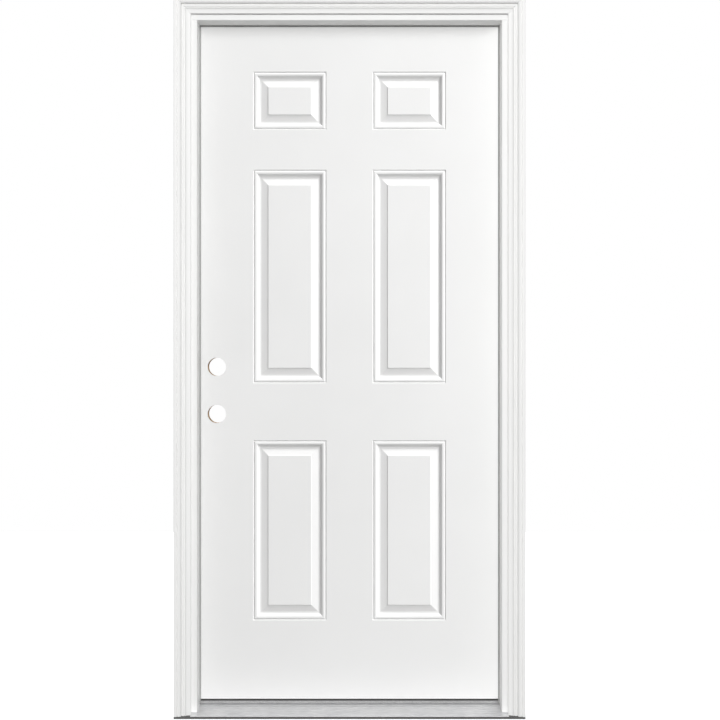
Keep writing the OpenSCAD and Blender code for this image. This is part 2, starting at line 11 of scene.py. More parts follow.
import bmesh
import bpy
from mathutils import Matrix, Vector


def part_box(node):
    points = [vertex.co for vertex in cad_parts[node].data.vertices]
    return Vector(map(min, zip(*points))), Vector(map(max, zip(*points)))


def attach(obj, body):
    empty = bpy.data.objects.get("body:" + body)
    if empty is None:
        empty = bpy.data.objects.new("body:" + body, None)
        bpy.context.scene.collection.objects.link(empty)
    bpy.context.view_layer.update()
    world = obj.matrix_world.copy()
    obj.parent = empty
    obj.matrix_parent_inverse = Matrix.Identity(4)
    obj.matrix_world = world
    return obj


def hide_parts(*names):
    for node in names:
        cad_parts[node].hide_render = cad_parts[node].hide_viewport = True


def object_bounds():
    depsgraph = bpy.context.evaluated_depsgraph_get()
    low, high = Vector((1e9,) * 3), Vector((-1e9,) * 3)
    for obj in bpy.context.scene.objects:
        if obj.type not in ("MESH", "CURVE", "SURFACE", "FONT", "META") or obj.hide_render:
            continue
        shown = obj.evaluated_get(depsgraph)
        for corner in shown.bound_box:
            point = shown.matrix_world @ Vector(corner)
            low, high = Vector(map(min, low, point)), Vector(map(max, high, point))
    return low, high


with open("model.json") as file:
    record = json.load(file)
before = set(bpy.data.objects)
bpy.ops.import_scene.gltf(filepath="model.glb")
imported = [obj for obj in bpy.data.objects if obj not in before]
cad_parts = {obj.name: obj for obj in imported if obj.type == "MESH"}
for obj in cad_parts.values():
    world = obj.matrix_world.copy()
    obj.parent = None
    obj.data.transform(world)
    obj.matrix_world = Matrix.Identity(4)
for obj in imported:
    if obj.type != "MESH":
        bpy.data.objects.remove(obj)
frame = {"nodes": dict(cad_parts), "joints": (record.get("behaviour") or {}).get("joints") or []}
CAD_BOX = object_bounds()

LOG = logging.getLogger("entry_door")
MM = 0.001
NEAR = 1e-5
CREASE = math.radians(15)
CORNER_SHARE = 0.45  # the most of a line's piece that one rounded corner takes up
WHITE = (1.0, 1.0, 1.0)
Point = tuple[float, float]
Place = tuple[float, float, float]
Colour = tuple[float, float, float]
Socket = bpy.types.NodeSocket


class Side(Enum):
    """Which way a face of the slab looks, as the sign of its Y."""

    EXTERIOR = -1
    INTERIOR = 1


class Hand(Enum):
    """Which side of the doorway a piece stands on, as the sign of its X."""

    LATCH = -1
    HINGE = 1


class Grain(Enum):
    """The direction that a board's fibres or a drawn strip's marks run in."""

    ALONG_X = 0
    ALONG_Z = 2


class Body(Enum):
    """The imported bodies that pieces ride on."""

    FRAME = "frame"
    DOOR = "door"


# ---------- Lines and outlines ----------


def soften(points: Sequence[Point], radius: float, steps: int = 4,
           closed: bool = False) -> list[Point]:
    """Rounds the corners of a line of points with short arcs.

    Args:
        points: The corners, in order.
        radius: How far from a corner its arc starts, at most.
        steps: Number of pieces in each arc.
        closed: Whether the line returns to its first point.

    Returns:
        The points of the rounded line.
    """
    corners = [Vector(p) for p in points]
    count = len(corners)
    inner = range(count) if closed else range(1, count - 1)
    line: list[Point] = [] if closed else [tuple(points[0])]
    for i in inner:
        before, corner, after = corners[i - 1], corners[i], corners[(i + 1) % count]
        first = corner.lerp(before, min(CORNER_SHARE, radius / (before - corner).length))
        last = corner.lerp(after, min(CORNER_SHARE, radius / (after - corner).length))
        for step in range(steps + 1):
            t = step / steps
            line.append(tuple(first.lerp(corner, t).lerp(corner.lerp(last, t), t)))
    if not closed:
        line.append(tuple(points[-1]))
    return line


def arc(centre: Point, radii: Point, start: float, end: float, steps: int) -> list[Point]:
    """Gives the points of an elliptical arc.

    Args:
        centre: The arc's centre.
        radii: Its radius each way.
        start: Its first angle, in degrees.
        end: Its last angle, in degrees.
        steps: Number of pieces in it.

    Returns:
        The arc's points, both ends among them.
    """
    angles = [math.radians(start + (end - start) * i / steps) for i in range(steps + 1)]
    return [(centre[0] + radii[0] * math.cos(a), centre[1] + radii[1] * math.sin(a))
            for a in angles]


# ---------- Modelling ----------


class Shape:
    """One mesh object, shaped with Blender's own operators."""

    def __init__(self, name: str) -> None:
        """Takes over the object that a primitive operator has just added.

        Args:
            name: The piece's name.
        """
        self.obj = bpy.context.active_object
        self.obj.name = name
        self.obj.data.name = name
        bpy.ops.object.transform_apply(location=True, rotation=True, scale=True)

    @classmethod
    def plane(cls, name: str, width: float, height: float, centre: Place, side: Side) -> "Shape":
        """Adds an upright rectangle that faces out of the slab.

        Args:
            name: The piece's name.
            width: Its size in X.
            height: Its size in Z.
            centre: Its middle.
            side: The way that it faces.

        Returns:
            The new shape.
        """
        bpy.ops.object.select_all(action="DESELECT")
        turn = -side.value * math.pi / 2
        bpy.ops.mesh.primitive_plane_add(size=1, location=centre, rotation=(turn, 0, 0))
        bpy.context.active_object.scale = (width, height, 1)
        return cls(name)

    @classmethod
    def block(cls, name: str, corner: Place, opposite: Place) -> "Shape":
        """Adds a rectangular block.

        Args:
            name: The piece's name.
            corner: One of its corners.
            opposite: The corner across from it.

        Returns:
            The new shape.
        """
        bpy.ops.object.select_all(action="DESELECT")
        middle = [(a + b) / 2 for a, b in zip(corner, opposite)]
        bpy.ops.mesh.primitive_cube_add(size=1, location=middle)
        bpy.context.active_object.scale = [abs(b - a) for a, b in zip(corner, opposite)]
        return cls(name)

    @classmethod
    def rod(cls, name: str, radius: float, length: float, centre: Place,
            axis: str = "Z", sides: int = 56) -> "Shape":
        """Adds a round rod.

        Args:
            name: The piece's name.
            radius: Its radius.
            length: Its length.
            centre: Its middle.
            axis: The letter of the axis that it lies along.
            sides: Number of flats round it.

        Returns:
            The new shape.
        """
        bpy.ops.object.select_all(action="DESELECT")
        turn = {"X": (0, math.pi / 2, 0), "Y": (math.pi / 2, 0, 0), "Z": (0, 0, 0)}[axis]
        bpy.ops.mesh.primitive_cylinder_add(
            vertices=sides, radius=radius, depth=length, location=centre, rotation=turn)
        return cls(name)

    @classmethod
    def outline(cls, name: str, places: Sequence[Place]) -> "Shape":
        """Draws a flat face by drawing out one vertex from corner to corner.

        Args:
            name: The piece's name.
            places: The face's corners, in order.

        Returns:
            The new shape.
        """
        bpy.ops.object.select_all(action="DESELECT")
        bpy.ops.mesh.primitive_plane_add(size=MM, location=places[0])
        shape = cls(name)
        with shape.editing():
            bpy.ops.mesh.select_mode(type="VERT")
            bpy.ops.mesh.select_all(action="SELECT")
            bpy.ops.mesh.merge(type="CENTER")
            for here, there in zip(places, places[1:]):
                step = [b - a for a, b in zip(here, there)]
                bpy.ops.mesh.extrude_vertices_move(TRANSFORM_OT_translate={"value": step})
            bpy.ops.mesh.select_all(action="SELECT")
            bpy.ops.mesh.edge_face_add()
        return shape

    @classmethod
    def bar(cls, name: str, places: Sequence[Place], run: Place) -> "Shape":
        """Draws an outline and pulls it out into a closed bar.

        Args:
            name: The piece's name.
            places: The outline's corners, in order.
            run: How far and which way the bar goes from them.

        Returns:
            The new shape.
        """
        shape = cls.outline(name, places)
        with shape.editing():
            bpy.ops.mesh.select_all(action="SELECT")
            shape.extrude(run)
            bpy.ops.mesh.select_all(action="SELECT")
            bpy.ops.mesh.normals_make_consistent(inside=False)
        return shape

    @contextmanager
    def editing(self) -> Iterator[None]:
        """Opens this shape alone in edit mode."""
        self.activate()
        bpy.ops.object.mode_set(mode="EDIT")
        yield
        bpy.ops.object.mode_set(mode="OBJECT")

    def activate(self) -> None:
        """Makes this the one selected and active object."""
        bpy.ops.object.select_all(action="DESELECT")
        self.obj.select_set(True)
        bpy.context.view_layer.objects.active = self.obj

    def pick(self, kind: str, test: Callable[[bmesh.types.BMesh], bool]) -> None:
        """Selects the faces, edges or vertices that pass a test, in edit mode.

        Args:
            kind: FACE, EDGE or VERT.
            test: Says whether an element is selected.
        """
        bpy.ops.mesh.select_mode(type=kind)
        bpy.ops.mesh.select_all(action="DESELECT")
        mesh = bmesh.from_edit_mesh(self.obj.data)
        for element in {"FACE": mesh.faces, "EDGE": mesh.edges, "VERT": mesh.verts}[kind]:
            if test(element):
                element.select_set(True)
        mesh.select_flush_mode()
        bmesh.update_edit_mesh(self.obj.data)

    def extrude(self, step: Place) -> None:
        """Extrudes what is selected by a step, in edit mode."""
        bpy.ops.mesh.extrude_region_move(TRANSFORM_OT_translate={"value": step})

    def saw(self, place: Place, normal: Place) -> None:
        """Cuts away all that lies past a plane and closes the cut.

        Args:
            place: A point on the plane.
            normal: The way that the plane faces, which is the side cut away.
        """
        with self.editing():
            bpy.ops.mesh.select_all(action="SELECT")
            bpy.ops.mesh.bisect(plane_co=place, plane_no=normal, use_fill=True, clear_outer=True)

    def score(self, place: Place, normal: Place) -> None:
        """Divides the faces along a plane, in edit mode."""
        bpy.ops.mesh.select_all(action="SELECT")
        bpy.ops.mesh.bisect(plane_co=place, plane_no=normal)

    def ease(self, width: float, steps: int, test: Callable[[bmesh.types.BMEdge], bool]) -> None:
        """Rounds some edges.

        Args:
            width: How far each rounding reaches from its edge.
            steps: Number of pieces across it.
            test: Says whether an edge is rounded.
        """
        with self.editing():
            self.pick("EDGE", test)
            bpy.ops.mesh.bevel(offset=width, segments=steps, affect="EDGES", clamp_overlap=True)

    def modify(self, kind: str, **settings: object) -> None:
        """Adds a modifier, sets it up and applies it.

        Args:
            kind: The modifier's type.
            **settings: Its settings, by their own names.
        """
        self.activate()
        bpy.ops.object.modifier_add(type=kind)
        modifier = self.obj.modifiers[-1]
        for key, value in settings.items():
            setattr(modifier, key, value)
        bpy.ops.object.modifier_apply(modifier=modifier.name)

    def combine(self, other: "Shape", operation: str = "DIFFERENCE") -> None:
        """Cuts another shape out of this one, or welds it on, and removes the other."""
        self.modify("BOOLEAN", operation=operation, object=other.obj, solver="EXACT")
        bpy.data.objects.remove(other.obj)

    def copy(self, name: str, offset: Place = (0, 0, 0)) -> "Shape":
        """Duplicates the shape with its own mesh.

        Args:
            name: The copy's name.
            offset: How far the copy is moved.

        Returns:
            The copy.
        """
        self.activate()
        bpy.ops.object.duplicate(linked=False)
        bpy.context.active_object.location = offset
        return Shape(name)

    def place_at(self, place: Place, rotation: Place) -> None:
        """Turns and moves the shape, and keeps that in its mesh.

        Args:
            place: How far it is moved.
            rotation: How far it is turned about each axis before that.
        """
        self.activate()
        self.obj.rotation_euler = rotation
        self.obj.location = place
        bpy.ops.object.transform_apply(location=True, rotation=True, scale=True)

    def absorb(self, others: Sequence["Shape"]) -> None:
        """Joins other shapes into this one.

        Args:
            others: The shapes to join, which are used up.
        """
        self.activate()
        for other in others:
            other.obj.select_set(True)
        bpy.ops.object.join()

    def smooth(self, crease: float = CREASE) -> None:
        """Shades curves smoothly, and keeps flats flat and creases sharp.

        Args:
            crease: The bend from which an edge stays sharp.
        """
        self.activate()
        bpy.ops.object.shade_smooth_by_angle(angle=crease)
        self.modify("WEIGHTED_NORMAL", keep_sharp=True)

    def publish(self, body: Body, slot: str, finish: "Finish", replaces: Sequence[str]) -> None:
        """Dresses the piece and hands it to the frame.

        Args:
            body: The body that it rides on.
            slot: The name of one of the record's material slots; it is not used.
            finish: What it is made of.
            replaces: The CAD nodes that it stands for.
        """
        self.obj.data.materials.clear()
        self.obj.data.materials.append(finish.material())
        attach(self.obj, body.value)
        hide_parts(*replaces)
        LOG.info("%s rides on %s: %d faces", self.obj.name, body.value, len(self.obj.data.polygons))


# ---------- Finishes ----------


class Board:
    """A material's node tree, with short ways to add what the finishes share."""

    def __init__(self, name: str) -> None:
        """Starts a material with a shader and the piece's own coordinates.

        Args:
            name: The material's name.
        """
        self.material = bpy.data.materials.new(name)
        self.material.use_nodes = True
        self.nodes = self.material.node_tree.nodes
        self.shader = self.nodes["Principled BSDF"]
        self.place = self.nodes.new("ShaderNodeTexCoord").outputs["Object"]

    def join(self, output: Socket, target: Socket) -> None:
        """Links an output to an input."""
        self.material.node_tree.links.new(output, target)

    def shape(self, **values: float) -> None:
        """Sets numbers on the shader's own sockets.

        Args:
            **values: The numbers, by the sockets' names with underscores.
        """
        for name, value in values.items():
            socket = name.replace("_", " ").title().replace("Ior", "IOR")
            self.shader.inputs[socket].default_value = value

    def stretched(self, scale: Place, turn: Place = (0, 0, 0)) -> Socket:
        """Scales and turns the coordinates, so that a pattern can run one way.

        Args:
            scale: The pattern's cells per metre along each axis.
            turn: How far it is turned about each axis.

        Returns:
            The coordinates.
        """
        node = self.nodes.new("ShaderNodeMapping")
        node.inputs["Scale"].default_value = scale
        node.inputs["Rotation"].default_value = turn
        self.join(self.place, node.inputs["Vector"])
        return node.outputs["Vector"]

    def grained(self, grain: Grain, along: float, across: float, turn: Place = (0, 0, 0)) -> Socket:
        """Stretches the coordinates along a grain.

        Args:
            grain: The direction that the grain runs in.
            along: The pattern's cells per metre in that direction.
            across: Its cells per metre in the other two.
            turn: How far it is turned about each axis.

        Returns:
            The coordinates.
        """
        scale = [across] * 3
        scale[grain.value] = along
        return self.stretched(tuple(scale), turn)

    def noise(self, scale: float, detail: float = 3, rough: float = 0.5,
              vector: Socket | None = None, wander: float = 0) -> Socket:
        """Adds cloudy noise.

        Args:
            scale: Its cells per metre, on plain coordinates.
            detail: Number of finer layers.
            rough: Strength of those layers.
            vector: Coordinates to use in place of the plain ones.
            wander: How much the cells are pulled about.

        Returns:
            The noise's value, from 0 to 1.
        """
        node = self.nodes.new("ShaderNodeTexNoise")
        node.inputs["Scale"].default_value = scale
        node.inputs["Detail"].default_value = detail
        node.inputs["Roughness"].default_value = rough
        node.inputs["Distortion"].default_value = wander
        self.join(vector or self.place, node.inputs["Vector"])
        return node.outputs["Fac"]

    def bands(self, scale: float, vector: Socket, wander: float, axis: str = "X",
              profile: str = "SIN") -> Socket:
        """Adds wavy bands across an axis.

        Args:
            scale: Bands per metre, roughly, on plain coordinates.
            vector: Coordinates.
            wander: How much the bands are pulled about.
            axis: The axis that they cross.
            profile: The wave's shape.

        Returns:
            The bands' value, from 0 to 1.
        """
        node = self.nodes.new("ShaderNodeTexWave")
        node.wave_type = "BANDS"
        node.bands_direction = axis
        node.wave_profile = profile
        node.inputs["Scale"].default_value = scale
        node.inputs["Distortion"].default_value = wander
        node.inputs["Detail"].default_value = 3
        node.inputs["Detail Scale"].default_value = 1.2
        self.join(vector, node.inputs["Vector"])
        return node.outputs["Fac"]

    def cells(self, scale: float) -> Socket:
        """Adds small cells.

        Args:
            scale: Cells per metre.

        Returns:
            The distance to the middle of the nearest cell.
        """
        node = self.nodes.new("ShaderNodeTexVoronoi")
        node.inputs["Scale"].default_value = scale
        self.join(self.place, node.inputs["Vector"])
        return node.outputs["Distance"]

    def span(self, value: Socket, low: float, high: float,
             source: Point = (0.3, 0.7)) -> Socket:
        """Maps a value from one range to another.

        Args:
            value: The value to map.
            low: What the source range's start becomes.
            high: What its end becomes.
            source: The source range.

        Returns:
            The mapped value.
        """
        node = self.nodes.new("ShaderNodeMapRange")
        node.inputs["From Min"].default_value, node.inputs["From Max"].default_value = source
        node.inputs["To Min"].default_value = low
        node.inputs["To Max"].default_value = high
        self.join(value, node.inputs["Value"])
        return node.outputs["Result"]

    def blend(self, value: Socket, stops: Sequence[tuple[float, Colour]]) -> Socket:
        """Turns a value into a colour between named stops.

        Args:
            value: The value, from 0 to 1.
            stops: Places along the range, each with its colour.

        Returns:
            The colour.
        """
        node = self.nodes.new("ShaderNodeValToRGB")
        ramp = node.color_ramp
        while len(ramp.elements) < len(stops):
            ramp.elements.new(0.5)
        for element, (position, colour) in zip(ramp.elements, stops):
            element.position = position
            element.color = (*colour, 1)
        self.join(value, node.inputs["Fac"])
        return node.outputs["Color"]

    def tones(self, value: Socket, colour: Colour, *steps: Point) -> Socket:
        """Turns a value into darker and lighter tones of one colour.

        Args:
            value: The value, from 0 to 1.
            colour: The colour.
            *steps: Places along the range, each with how light the colour is there.

        Returns:
            The toned colour.
        """
        return self.blend(value, [(place, shade(colour, factor)) for place, factor in steps])

    def stain(self, under: Socket, value: Socket, tint: Colour, reach: Point,
              amount: float) -> Socket:
        """Darkens a colour with a tint where a value is low.

        Args:
            under: The colour below.
            value: The value, from 0 to 1.
            tint: What the colour is multiplied by.
            reach: Where the full tint ends, and where it has faded out.
            amount: Strength of the tint.

        Returns:
            The stained colour.
        """
        over = self.blend(value, [(reach[0], tint), (reach[1], WHITE)])
        node = self.nodes.new("ShaderNodeMix")
        node.data_type = "RGBA"
        node.blend_type = "MULTIPLY"
        node.inputs["Factor"].default_value = amount
        colours = [s for s in node.inputs if s.type == "RGBA"]
        self.join(under, colours[0])
        self.join(over, colours[1])
        return [s for s in node.outputs if s.type == "RGBA"][0]

    def relief(self, height: Socket, depth: float,
               under: Socket | None = None) -> Socket:
        """Adds fine relief.

        Args:
            height: The relief's height, from 0 to 1.
            depth: What a height of 1 is, in metres.
            under: A normal that the relief stands on.

        Returns:
            The normal.
        """
        node = self.nodes.new("ShaderNodeBump")
        node.inputs["Strength"].default_value = 1
        node.inputs["Distance"].default_value = depth
        self.join(height, node.inputs["Height"])
        if under is not None:
            self.join(under, node.inputs["Normal"])
        return node.outputs["Normal"]

    def finish(self, colour: Socket, roughness: Socket,
               normal: Socket) -> bpy.types.Material:
        """Connects the shader.

        Args:
            colour: The surface's colour.
            roughness: Its roughness.
            normal: Its relief.

        Returns:
            The material.
        """
        self.join(colour, self.shader.inputs["Base Color"])
        self.join(roughness, self.shader.inputs["Roughness"])
        self.join(normal, self.shader.inputs["Normal"])
        return self.material


def shade(colour: Colour, factor: float) -> Colour:
    """Makes a colour lighter or darker."""
    return tuple(min(1.0, c * factor) for c in colour)


@dataclass(frozen=True)
class Finish:
    """What a piece is made of. Each kind draws its own nodes, once for each set of values."""

    name: str
    colour: Colour

    def material(self) -> bpy.types.Material:
        """Gives the finish's material, and makes it the first time."""
        return bpy.data.materials.get(self.name) or self.draw(Board(self.name))

    def draw(self, board: Board) -> bpy.types.Material:
        """Draws the finish on a board."""
        raise NotImplementedError


@dataclass(frozen=True)
class SprayedPaint(Finish):
    """Factory primer sprayed on steel: even, with a fine orange peel and faint cloudiness."""

    gloss: float = 0.42
    peel: float = 0.00001

    def draw(self, board: Board) -> bpy.types.Material:
        """Draws the finish on a board.

        Args:
            board: The material's nodes.

        Returns:
            The material.
        """
        cloud = board.noise(2.3, 4, 0.55)
        colour = board.tones(cloud, self.colour, (0.3, 0.985), (0.7, 1.012))
        dust = board.noise(210, 2, 0.6)
        colour = board.stain(colour, dust, (0.93, 0.93, 0.925), (0.24, 0.33), 0.35)
        rough = board.span(board.noise(9, 5, 0.6), self.gloss - 0.05, self.gloss + 0.06)
        normal = board.relief(board.noise(520, 2, 0.45), self.peel)
        normal = board.relief(board.noise(14, 2, 0.4), self.peel * 3, normal)
        board.shape(ior=1.48)
        return board.finish(colour, rough, normal)


@dataclass(frozen=True)
class PrimedTimber(Finish):
    """Primer on softwood: matter than the steel, with the raised grain showing through."""

    grain: Grain = Grain.ALONG_Z
    raised: float = 0.00003

    def draw(self, board: Board) -> bpy.types.Material:
        """Draws the finish on a board.

        Args:
            board: The material's nodes.

        Returns:
            The material.
        """
        fibres = board.noise(1, 5, 0.62, board.grained(self.grain, 5, 260), wander=0.4)
        figure = board.noise(1, 3, 0.5, board.grained(self.grain, 1.6, 34), wander=1.2)
        colour = board.tones(figure, self.colour, (0.3, 0.982), (0.68, 1.01))
        colour = board.stain(colour, fibres, (0.93, 0.93, 0.92), (0.28, 0.42), 0.5)
        rough = board.span(fibres, 0.5, 0.64)
        normal = board.relief(fibres, self.raised)
        normal = board.relief(board.noise(420, 2), self.raised * 0.35, normal)
        board.shape(ior=1.46)
        return board.finish(colour, rough, normal)


@dataclass(frozen=True)
class SawnTimber(Finish):
    """Planed softwood with yearly rings, fine fibres and the odd darker streak."""

    grain: Grain = Grain.ALONG_Z
    lean: Place = (0.05, 0.06, 0.4)
    rings: float = 34.0

    def draw(self, board: Board) -> bpy.types.Material:
        """Draws the finish on a board.

        Args:
            board: The material's nodes.

        Returns:
            The material.
        """
        along = board.grained(self.grain, 0.045, 1, self.lean)
        rings = board.bands(self.rings, along, 7.5)
        colour = board.tones(rings, self.colour, (0, 1.1), (0.55, 1), (0.86, 0.74), (0.95, 0.62))
        fibres = board.noise(1, 4, 0.6, board.grained(self.grain, 14, 900))
        colour = board.stain(colour, fibres, (0.72, 0.68, 0.62), (0.3, 0.55), 0.55)
        colour = board.stain(colour, board.noise(5, 3), (0.9, 0.88, 0.86), (0.3, 0.7), 0.8)
        rough = board.span(fibres, 0.58, 0.78)
        normal = board.relief(fibres, 0.00012)
        normal = board.relief(rings, 0.00008, normal)
        return board.finish(colour, rough, normal)


@dataclass(frozen=True)
class LaminatedTimber(Finish):
    """Veneers glued face to face, each with its own tone and a dark glue line between."""

    veneer: float = 0.0032
    glue: Colour = (0.34, 0.26, 0.2)

    def draw(self, board: Board) -> bpy.types.Material:
        """Draws the finish on a board.

        Args:
            board: The material's nodes.

        Returns:
            The material.
        """
        layers = board.bands(math.pi / (10 * self.veneer), board.place, 0.0, "Y", "SAW")
        tone = board.noise(1, 1, 0.5, board.stretched((4, 310, 4)))
        colour = board.tones(tone, self.colour, (0.32, 0.78), (0.68, 1.14))
        colour = board.stain(colour, layers, self.glue, (0.0, 0.07), 0.8)
        fibres = board.noise(1, 4, 0.6, board.grained(Grain.ALONG_Z, 12, 700))
        colour = board.stain(colour, fibres, (0.76, 0.72, 0.68), (0.3, 0.6), 0.6)
        normal = board.relief(fibres, 0.00015)
        return board.finish(colour, board.span(fibres, 0.62, 0.8), normal)


@dataclass(frozen=True)
class Composite(Finish):
    """Wood-filled plastic, moulded or drawn, with pale and dark flecks."""

    fleck: float = 620.0

    def draw(self, board: Board) -> bpy.types.Material:
        """Draws the finish on a board.

        Args:
            board: The material's nodes.

        Returns:
            The material.
        """
        flecks = board.noise(self.fleck, 3, 0.7, board.stretched((0.35, 1, 1)))
        colour = board.tones(flecks, self.colour, (0.3, 0.72), (0.5, 1), (0.72, 1.32))
        colour = board.stain(colour, board.noise(7, 4), (0.88, 0.88, 0.88), (0.3, 0.7), 0.7)
        rough = board.span(board.noise(60, 3), 0.52, 0.7)
        normal = board.relief(flecks, 0.00006)
        lines = board.noise(1, 2, 0.5, board.grained(Grain.ALONG_X, 3, 900))
        normal = board.relief(lines, 0.00004, normal)
        return board.finish(colour, rough, normal)


@dataclass(frozen=True)
class RigidFoam(Finish):
    """Poured insulating foam, cut open: small burst cells and slight yellowing."""

    cell: float = 900.0

    def draw(self, board: Board) -> bpy.types.Material:
        """Draws the finish on a board.

        Args:
            board: The material's nodes.

        Returns:
            The material.
        """
        cells = board.cells(self.cell)
        colour = board.tones(cells, self.colour, (0.1, 0.8), (0.55, 1.08))
        colour = board.stain(colour, board.noise(6, 4), (1.0, 0.94, 0.82), (0.3, 0.7), 0.8)
        normal = board.relief(cells, 0.0003)
        board.shape(subsurface_weight=0.06, subsurface_scale=0.002)
        return board.finish(colour, board.span(cells, 0.8, 0.95, (0, 1)), normal)


@dataclass(frozen=True)
class SoftSeal(Finish):
    """Soft vinyl or foam skin with a dull bloom and faint drawing lines."""

    bloom: float = 0.16
    dull: float = 0.66

    def draw(self, board: Board) -> bpy.types.Material:
        """Draws the finish on a board.

        Args:
            board: The material's nodes.

        Returns:
            The material.
        """
        bloom = board.noise(38, 5, 0.6)
        colour = board.tones(bloom, self.colour, (0.3, 1 - self.bloom), (0.7, 1 + self.bloom))
        fine = board.noise(1500, 2)
        rough = board.span(bloom, self.dull - 0.08, self.dull + 0.1)
        normal = board.relief(fine, 0.00002)
        normal = board.relief(board.noise(90, 3), 0.00008, normal)
        board.shape(sheen_weight=0.08, sheen_roughness=0.5)
        return board.finish(colour, rough, normal)


@dataclass(frozen=True)
class DrawnMetal(Finish):
    """Bare or plated metal with fine marks along its grain, and dull blooms from handling."""

    grain: Grain = Grain.ALONG_X
    gloss: float = 0.34
    marks: float = 0.000006

    def draw(self, board: Board) -> bpy.types.Material:
        """Draws the finish on a board.

        Args:
            board: The material's nodes.

        Returns:
            The material.
        """
        lines = board.noise(1, 4, 0.65, board.grained(self.grain, 9, 1800))
        bloom = board.noise(24, 5, 0.6)
        colour = board.tones(lines, self.colour, (0.28, 0.86), (0.7, 1.08))
        colour = board.stain(colour, bloom, (0.86, 0.86, 0.87), (0.3, 0.62), 0.7)
        rough = board.span(bloom, self.gloss + 0.1, self.gloss - 0.05)
        normal = board.relief(lines, self.marks)
        board.shape(metallic=1.0)
        return board.finish(colour, rough, normal)


# ---------- The slab ----------


@dataclass
class PanelSection:
    """The pressed line round a panel, in millimetres: in from its edge, and below the face."""

    groove: float = 4.2
    groove_depth: float = 3.0
    groove_wall: float = 1.6
    shoulder_depth: float = 0.9
    crest: float = 6.4
    lip: float = 9.8
    lip_depth: float = 0.25
    moulding: float = 21.0
    moulding_depth: float = 8.4
    valley: float = 24.0
    bevel_end: float = 43.2
    bevel_depth: float = 3.2
    field: float = 45.4
    field_depth: float = 1.0
    margin: float = 1.0
    overlap: float = 1.5
    curve_steps: int = 14
    bend: float = 0.6
    bend_steps: int = 5

    def line(self) -> list[Point]:
        """Gives the pressing's rounded line, from the flat margin to the raised field.

        Returns:
            The line's points.
        """
        corners = [
            (-self.margin, 0.0), (0.0, 0.0), (self.groove_wall, self.groove_depth),
            (self.groove - self.groove_wall, self.groove_depth),
            (self.groove, self.shoulder_depth), (self.crest, 0.0), (self.lip, self.lip_depth)]
        start = soften(corners, self.bend, self.bend_steps)
        curve = []
        for step in range(1, self.curve_steps):
            share = step / self.curve_steps
            rise = (1 - math.cos(math.pi * share)) / 2
            curve.append((
                self.lip + share * (self.moulding - self.lip),
                self.lip_depth + rise * (self.moulding_depth - self.lip_depth)))
        foot = soften([
            (self.moulding, self.moulding_depth), (self.valley, self.moulding_depth),
            (self.bevel_end, self.bevel_depth), (self.field, self.field_depth),
            (self.field + self.overlap, self.field_depth)], self.bend, self.bend_steps)
        return start + curve + foot


@dataclass
class PressedSkin:
    """One pressed steel face of the slab: six panels, folded long edges and two bores."""

    side: Side
    section: PanelSection = field(default_factory=PanelSection)
    columns: tuple[Point, ...] = ((-0.286, -0.0685), (0.0685, 0.286))
    rows: tuple[Point, ...] = ((0.233, 0.7665), (0.9365, 1.5695), (1.6885, 1.8605))
    sheet: float = 0.0006
    fold: float = 0.009
    fold_bend: float = 0.0011
    fold_steps: int = 4
    bore_x: float = -0.3937
    bore_heights: Point = (0.8799, 1.0196)
    bore: float = 0.027
    bore_sides: int = 96
    drill_length: float = 0.05

    def name(self) -> str:
        """Gives the name of the CAD node that the skin stands for."""
        return f"{self.side.name.lower()}_skin"

    def build(self) -> Shape:
        """Presses the sheet, folds it, gives it its thickness and bores it.

        Returns:
            The skin.
        """
        low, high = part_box(self.name())
        face_y = low.y if self.side is Side.EXTERIOR else high.y
        middle = (0, face_y, (low.z + high.z) / 2)
        size = high - low
        skin = Shape.plane(f"{self.name()}_sheet", size.x, size.z, middle, self.side)
        line = self.section.line()
        margin = self.section.margin * MM
        with skin.editing():
            for left, right in self.columns:
                skin.score((left - margin, 0, 0), (1, 0, 0))
                skin.score((right + margin, 0, 0), (1, 0, 0))
            for bottom, top in self.rows:
                skin.score((0, 0, low.z + bottom - margin), (0, 0, 1))
                skin.score((0, 0, low.z + top + margin), (0, 0, 1))
            skin.pick("FACE", lambda f: self.holds(f.calc_center_median(), low.z))
            for (here, depth), (there, next_depth) in zip(line, line[1:]):
                bpy.ops.mesh.inset(thickness=(there - here) * MM, depth=(depth - next_depth) * MM)
            skin.pick("EDGE", lambda e: all(abs(abs(v.co.x) - high.x) < NEAR for v in e.verts))
            skin.extrude((0, -self.side.value * self.fold, 0))
            skin.pick("EDGE", lambda e: all(
                abs(abs(v.co.x) - high.x) < NEAR and abs(v.co.y - face_y) < NEAR for v in e.verts))
            bpy.ops.mesh.bevel(offset=self.fold_bend, segments=self.fold_steps, affect="EDGES")
        skin.modify("SOLIDIFY", thickness=self.sheet, offset=-1, use_even_offset=True)
        for height in self.bore_heights:
            place = (self.bore_x, face_y, height)
            skin.combine(Shape.rod(
                "drill", self.bore, self.drill_length, place, "Y", self.bore_sides))
        skin.smooth()
        return skin

    def holds(self, place: Vector, floor: float) -> bool:
        """Says whether a place on the sheet lies in one of the panels.

        Args:
            place: The place.
            floor: Height of the sheet's lower edge.

        Returns:
            Whether a panel holds it.
        """
        across = any(left < place.x < right for left, right in self.columns)
        return across and any(bottom < place.z - floor < top for bottom, top in self.rows)


